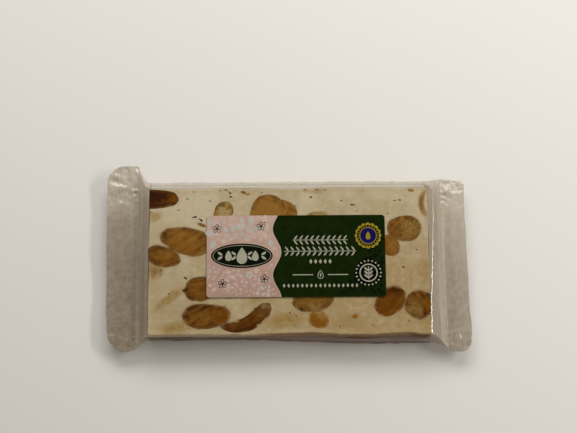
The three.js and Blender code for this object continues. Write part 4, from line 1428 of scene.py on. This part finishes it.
def print_layer(name, shapes, layer, finish):
    """One ink as a thin layer. A shape is an outline, or a pair of outlines for a strip."""
    low = LABEL["top"] + layer * INK_STEP
    points, faces = [], []
    for shape in shapes:
        start = len(points)
        strip = isinstance(shape, tuple)
        outlines = list(shape) if strip else [shape]
        count = len(outlines[0])
        for height in (low, low + INK_STEP):
            for outline in outlines:
                points += on_label(outline, height)
        ring = list(range(count))
        after = ring[1:] + ring[:1]
        if strip:
            a, b, c, d = (start + count * part for part in range(4))   # low outer, inner, high outer, inner
            for i, j in zip(ring, after):
                faces += [(c + i, c + j, d + j, d + i), (b + i, b + j, a + j, a + i),
                          (a + i, a + j, c + j, c + i), (d + i, d + j, b + j, b + i)]
        else:
            a, c = start, start + count
            faces += [tuple(c + i for i in ring), tuple(a + i for i in ring[::-1])]
            faces += [(a + i, a + j, c + j, c + i) for i, j in zip(ring, after)]
    thing = object_of(name, points, faces, finish)
    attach(thing, "root")


# %% [markdown]
# Paper and ink are never quite even: the ink sinks in a little more here and there, and the
# coating shines a little less where it is thick. One recipe with two close tones serves all.
# The pink field is painted paler towards the back, as painted light from the lamp behind, and
# the plate's paper tone is painted shade along the label's edge.

# %% Inks and paper
INKS = {
    "pink": (tone(194, 166, 152), tone(164, 132, 116)),
    "pale_pink": (tone(200, 178, 164), tone(190, 168, 154)),
    "lavender": (tone(188, 180, 172), tone(178, 172, 164)),
    "green": (tone(17, 33, 1), tone(12, 26, 0)),
    "deep_green": (tone(8, 17, 2), tone(6, 13, 2)),
    "cream": (tone(168, 166, 146), tone(158, 156, 136)),
    "gold": (tone(158, 138, 40), tone(142, 122, 30)),
    "blue": (tone(18, 18, 84), tone(14, 14, 70)),
    "line": (tone(30, 24, 14), tone(24, 20, 10)),
    # A dark brown-grey for the plate's sides: painted shade along the label's edge.
    "paper_edge_shade": (tone(112, 100, 84), tone(104, 92, 76)),
}


def print_finish(name):
    finish, tree, shader = new_finish(f"{name}_ink", 0.45, Specular_IOR_Level=0.05)
    space = own_space(tree)
    first, second = INKS[name]
    share = remap(tree, noise(tree, space, 4.0, 3), 0.35, 0.65)
    if name == "pink":
        across = add_node(tree, "ShaderNodeSeparateXYZ", Vector=space).outputs["Y"]
        middle, half = MIDDLE.y + LABEL_PLACE.y, LABEL["width"] / 2
        # Painted light: the pink turns paler towards the back, where the lamp stands.
        painted_light_to_back = remap(tree, across, middle - half, middle + half, 0.9, 0.1)
        share = blend_colours(tree, 0.25, painted_light_to_back, share)
    tree.links.new(blend_colours(tree, share, first, second), shader.inputs["Base Color"])
    tree.links.new(remap(tree, noise(tree, space, 1.0, 2), 0.3, 0.7, 0.34, 0.46), shader.inputs["Roughness"])
    bump(tree, shader, noise(tree, space, 0.35, 2), 0.01)
    return finish


inks = {name: print_finish(name) for name in INKS}
print(len(inks), "inks mixed")


def label_outline(inset):
    """The label's edge moved in by the inset, anticlockwise from the front right."""
    length, width = LABEL["length"] - 2 * inset, LABEL["width"] - 2 * inset
    corner = LABEL["corner"] - inset
    outline = []
    for quarter, (x, y) in enumerate(((1, -1), (1, 1), (-1, 1), (-1, -1))):
        angle = np.linspace(quarter - 1, quarter, LABEL["steps"] + 1) * np.pi / 2
        outline.append(np.stack([x * (length / 2 - corner) + corner * np.cos(angle),
                                 y * (width / 2 - corner) + corner * np.sin(angle)], axis=1))
    return np.concatenate(outline)


def label_plate():
    """The label's plate: thin, with its upper edge slightly rounded. Its dark brown-grey sides are painted
    shade along the label's edge.
    """
    bevel_inset, bevel_drop = LABEL["bevel"]
    levels = [(0.0, LABEL["bottom"]), (0.0, LABEL["top"] - bevel_drop), (bevel_inset, LABEL["top"])]
    points, faces = [], []
    for inset, height in levels:
        points += on_label(label_outline(inset), height)
    count = len(points) // len(levels)
    ring = range(count)
    for level in range(len(levels) - 1):
        a, b = level * count, (level + 1) * count
        faces += [(a + i, a + (i + 1) % count, b + (i + 1) % count, b + i) for i in ring]
    faces += [tuple(2 * count + i for i in ring), tuple(i for i in reversed(ring))]
    return object_of("label_plate", points, faces, inks["paper_edge_shade"])


plate = label_plate()
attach(plate, "root")
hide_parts("label")

# %% The two fields and their wave
def wave_x(y):
    return WAVE["x"] - WAVE["swing"] * np.cos(2 * np.pi * (y - WAVE["shift"]) / WAVE["length"])


def field(side):
    """The part of the label left (-1) or right (1) of the wave, as one outline."""
    outline = label_outline(LABEL["margin"])
    half = LABEL["width"] / 2 - LABEL["margin"]
    quarters = len(outline) // 2
    wave_y = np.linspace(-half, half, WAVE["points"]) * -side
    edge = np.stack([wave_x(wave_y), wave_y], axis=1)
    return np.concatenate([outline[:quarters] if side > 0 else outline[quarters:], edge])


print_layer("print_pink", [field(-1)], 0, inks["pink"])
print_layer("print_green", [field(1)], 1, inks["green"])
line_end = LABEL["width"] / 2 - WAVE["line_inset"]
line_y = np.linspace(-line_end, line_end, WAVE["points"])
wave_line = np.concatenate([np.stack([wave_x(line_y) - WAVE["line"], line_y], axis=1),
                            np.stack([wave_x(line_y) + WAVE["line"], line_y], axis=1)[::-1]])
print_layer("print_wave_line", [wave_line[::-1]], 2, inks["pale_pink"])
print("two fields that meet in a wave of", LABEL["width"], "mm")

# %% [markdown]
# The pink field carries a quiet pattern of pale ovals, rounds and leaves, strewn without
# touching, with room left for the plaque. The green field has a few deeper rounds in its right
# part. Strewing by a seeded draw gives a lively pattern that is the same each time.

# %% Quiet patterns
PLAQUE = {"x": -24.2, "y": 0.2, "half_x": 13.8, "half_y": 5.6}


def strewn_shapes(count, x_range, y_range, sizes, spacing, seed, keep, placed=()):
    draw = np.random.default_rng(seed)
    spots = list(placed)
    for _ in range(60 * count):
        if len(spots) == count:
            break
        x, y = draw.uniform(*x_range), draw.uniform(*y_range)
        size = sizes[0] + (sizes[1] - sizes[0]) * draw.uniform() ** 2
        turn, kind = draw.uniform(0, 180), int(draw.integers(5))
        if keep(x, y, size) and all(math.hypot(x - a, y - b) > (size + c) * spacing for a, b, c, *_ in spots):
            spots.append((x, y, size, turn, kind))
    return spots


def on_pink(x, y, size):
    clear_of_plaque = math.hypot((x - PLAQUE["x"]) / (PLAQUE["half_x"] + 0.6 + size),
                                 (y - PLAQUE["y"]) / (PLAQUE["half_y"] + 0.6 + size)) > 1
    return clear_of_plaque and x + size < wave_x(y) - 0.7


def pale_shapes(x, y, size, turn, kind):
    """One small motif: a round, a split leaf, an almond, a five-petal bloom or a ring."""
    if kind == 0:
        return [oval(x, y, size, 0.7 * size, turn)]
    if kind == 1:
        c, s = math.cos(math.radians(turn)), math.sin(math.radians(turn))
        return [leaf(x - c * size - shift * s, y - s * size + shift * c, 2 * size, 0.45 * size, turn)
                for shift in (-0.26 * size, 0.26 * size)]
    if kind == 2:
        return [nut_outline(x, y, 2 * size, 1.2 * size, turn)]
    if kind == 3:
        return [disc(x + 0.62 * size * math.cos(a), y + 0.62 * size * math.sin(a), 0.36 * size, 14)
                for a in np.radians(turn + 72 * np.arange(5))] + [disc(x, y, 0.2 * size, 10)]
    return [ring_of(disc(x, y, 0.8 * size, 22), 0.3 * size), disc(x, y, 0.28 * size, 12)]


pink_spots = strewn_shapes(34, (-39, -8), (3, 17.6), (1.5, 2.5), 0.8, 8, on_pink)
pink_spots = strewn_shapes(130, (-39, -8), (-17.6, 17.6), (0.5, 2.1), 0.86, 12, on_pink, pink_spots)
pale = [shape for spot in pink_spots[::2] for shape in pale_shapes(*spot)]
lavender = [shape for spot in pink_spots[1::2] for shape in pale_shapes(*spot)]
print_layer("print_pale_pattern", pale, 1, inks["pale_pink"])
print_layer("print_lavender_pattern", lavender, 1, inks["lavender"])
deep_spots = strewn_shapes(40, (12, 39), (-17.5, 17), (0.8, 2.0), 0.95, 5, lambda x, y, size: (
    x + size < 39.3 and abs(y) + size < 17.9 and (x - 12) / 26 - (y + 17) / 40 > 0.3))
deep = [disc(x, y, 0.85 * size, 20) for x, y, size, *_ in deep_spots]
print_layer("print_deep_rounds", deep, 2, inks["deep_green"])
print("label pattern:", len(pale) + len(lavender), "pale shapes,", len(deep), "deep rounds")

# %% [markdown]
# Over the fields come the motifs. The plaque on the pink field is a dark oval with three
# almonds. Small line blossoms stand round it. The green field has two leafy garlands, a short
# row of lozenges, a rule broken by an almond, and a row of small lozenges at the foot. At the
# right are a scalloped gold medal with a blue middle and a cream ring of dots with a sprig.

# %% Motifs
def garland(x, y, length, height, pairs, direction):
    """A stem with pairs of leaves that all lean one way."""
    shapes = [bar(x, y, length, 0.28)]
    step = length / pairs
    for place in range(pairs):
        root = x - direction * (length / 2 - step * (place + 0.2))
        for side in (-1, 1):
            lean = 52 * side
            turn = lean if direction > 0 else 180 - lean
            shapes.append(leaf(root, y + 0.1 * side, 0.62 * height, 0.72, turn))
    return shapes


def lozenges(x, y, length, size, count):
    places = np.linspace(-length / 2, length / 2, count)
    half = np.array([(-0.62, 0), (0, -1), (0.62, 0), (0, 1)]) * size / 2
    return [half + (x + place, y) for place in places]


def blossom(x, y, radius):
    """Five petals in a thin line round a dot."""
    petals = []
    for a in np.radians(90 + 72 * np.arange(5)):
        petals.append(oval(x + 0.6 * radius * math.cos(a), y + 0.6 * radius * math.sin(a),
                           0.46 * radius, 0.36 * radius, math.degrees(a), 18))
    return [ring_of(petal, 0.24) for petal in petals] + [disc(x, y, 0.16 * radius, 12)]


def scalloped(x, y, radius, scallops, depth):
    angle = np.linspace(0, 2 * np.pi, 8 * scallops, endpoint=False)
    reach = radius - depth * (1 - abs(np.cos(scallops * angle / 2)))
    return np.stack([x + reach * np.cos(angle), y + reach * np.sin(angle)], axis=1)


def ring_of_dots(x, y, radius, count, dot):
    angles = np.linspace(0, 2 * np.pi, count, endpoint=False)
    return [disc(x + radius * math.cos(a), y + radius * math.sin(a), dot, 12) for a in angles]


def plaque_oval(inset):
    return oval(PLAQUE["x"], PLAQUE["y"], PLAQUE["half_x"] - inset, PLAQUE["half_y"] - inset, sides=64)


inner_line = ring_of(plaque_oval(0.75), 0.22)
plaque_nuts = [nut_outline(PLAQUE["x"] + shift, PLAQUE["y"], 3.9 * size, 2.3 * size, 90)
               for shift, size in ((-6.0, 1.2), (0, 1.9), (6.0, 1.2))]
plaque_leaves = []
for shift, lean in ((2.5, 38), (8.6, 34)):
    for way, rise, turn in ((1, 0.2, lean), (1, -0.2, -lean), (-1, 0.2, 180 - lean), (-1, -0.2, 180 + lean)):
        plaque_leaves.append(leaf(PLAQUE["x"] + way * shift, PLAQUE["y"] + rise, 2.8, 1.1, turn))
MEDAL, EMBLEM = (32.4, 9.05), (32.3, -7.85)
BLOSSOMS = [(-35.3, 12.6), (-14.2, -10.4), (-32.8, -12.4), (-15.6, 13.6)]
blossoms = [shape for place in BLOSSOMS for shape in blossom(*place, 2.0)]
cream = garland(10.9, 7.2, 24.6, 4.3, 10, 1) + garland(10.8, 2.1, 32.2, 4.3, 13, -1)
cream += lozenges(10.9, -2.6, 8.6, 2.3, 5)
cream += [bar(3.0, -8.6, 9.1, 0.42), bar(18.7, -8.6, 9.1, 0.42)]
cream += [ring_of(nut_outline(10.9, -8.5, 4.0, 2.6, 90), 0.34), leaf(10.9, -9.7, 2.0, 0.7, 90)]
cream += lozenges(10.8, -13.5, 32.4, 1.9, 17)
cream += ring_of_dots(*EMBLEM, 5.5, 20, 0.4)
cream += [ring_of(disc(*EMBLEM, 4.1), 0.55)]
sprig = [bar(EMBLEM[0], EMBLEM[1], 0.4, 5.8)]
sprig += [leaf(EMBLEM[0] + shift, EMBLEM[1] + rise, 2.6, 0.85, turn)
          for rise in (-2.4, -0.8, 0.8) for shift, turn in ((0.05, 42), (-0.05, 138))]

print_layer("print_plaque", [plaque_oval(0)], 2, inks["deep_green"])
print_layer("print_emblem_ground", [disc(*EMBLEM, 6.3)], 2, inks["deep_green"])
print_layer("print_cream", cream + [inner_line, *plaque_nuts, *plaque_leaves], 3, inks["cream"])
print_layer("print_emblem_sprig", sprig, 4, inks["cream"])
print_layer("print_blossoms", blossoms, 2, inks["line"])
print_layer("print_medal_ground", [scalloped(*MEDAL, 6.0, 16, 0.6)], 3, inks["gold"])
print_layer("print_medal_band", [disc(*MEDAL, 5.0)], 4, inks["line"])
print_layer("print_medal_dots", ring_of_dots(*MEDAL, 4.45, 22, 0.26) + [ring_of(disc(*MEDAL, 3.9), 0.3)], 5,
            inks["gold"])
print_layer("print_medal_middle", [disc(*MEDAL, 3.6)], 5, inks["blue"])
print_layer("print_medal_nut", [nut_outline(*MEDAL, 3.6, 2.0, 90)], 6, inks["gold"])
print("label printed")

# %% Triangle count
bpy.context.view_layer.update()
triangles = {thing.name: sum(len(face.vertices) - 2 for face in thing.data.polygons)
             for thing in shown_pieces() if thing.type == "MESH"}
print("triangles:", sum(triangles.values()), "in", len(triangles), "pieces; largest",
      sorted(triangles.items(), key=lambda row: -row[1])[:3])
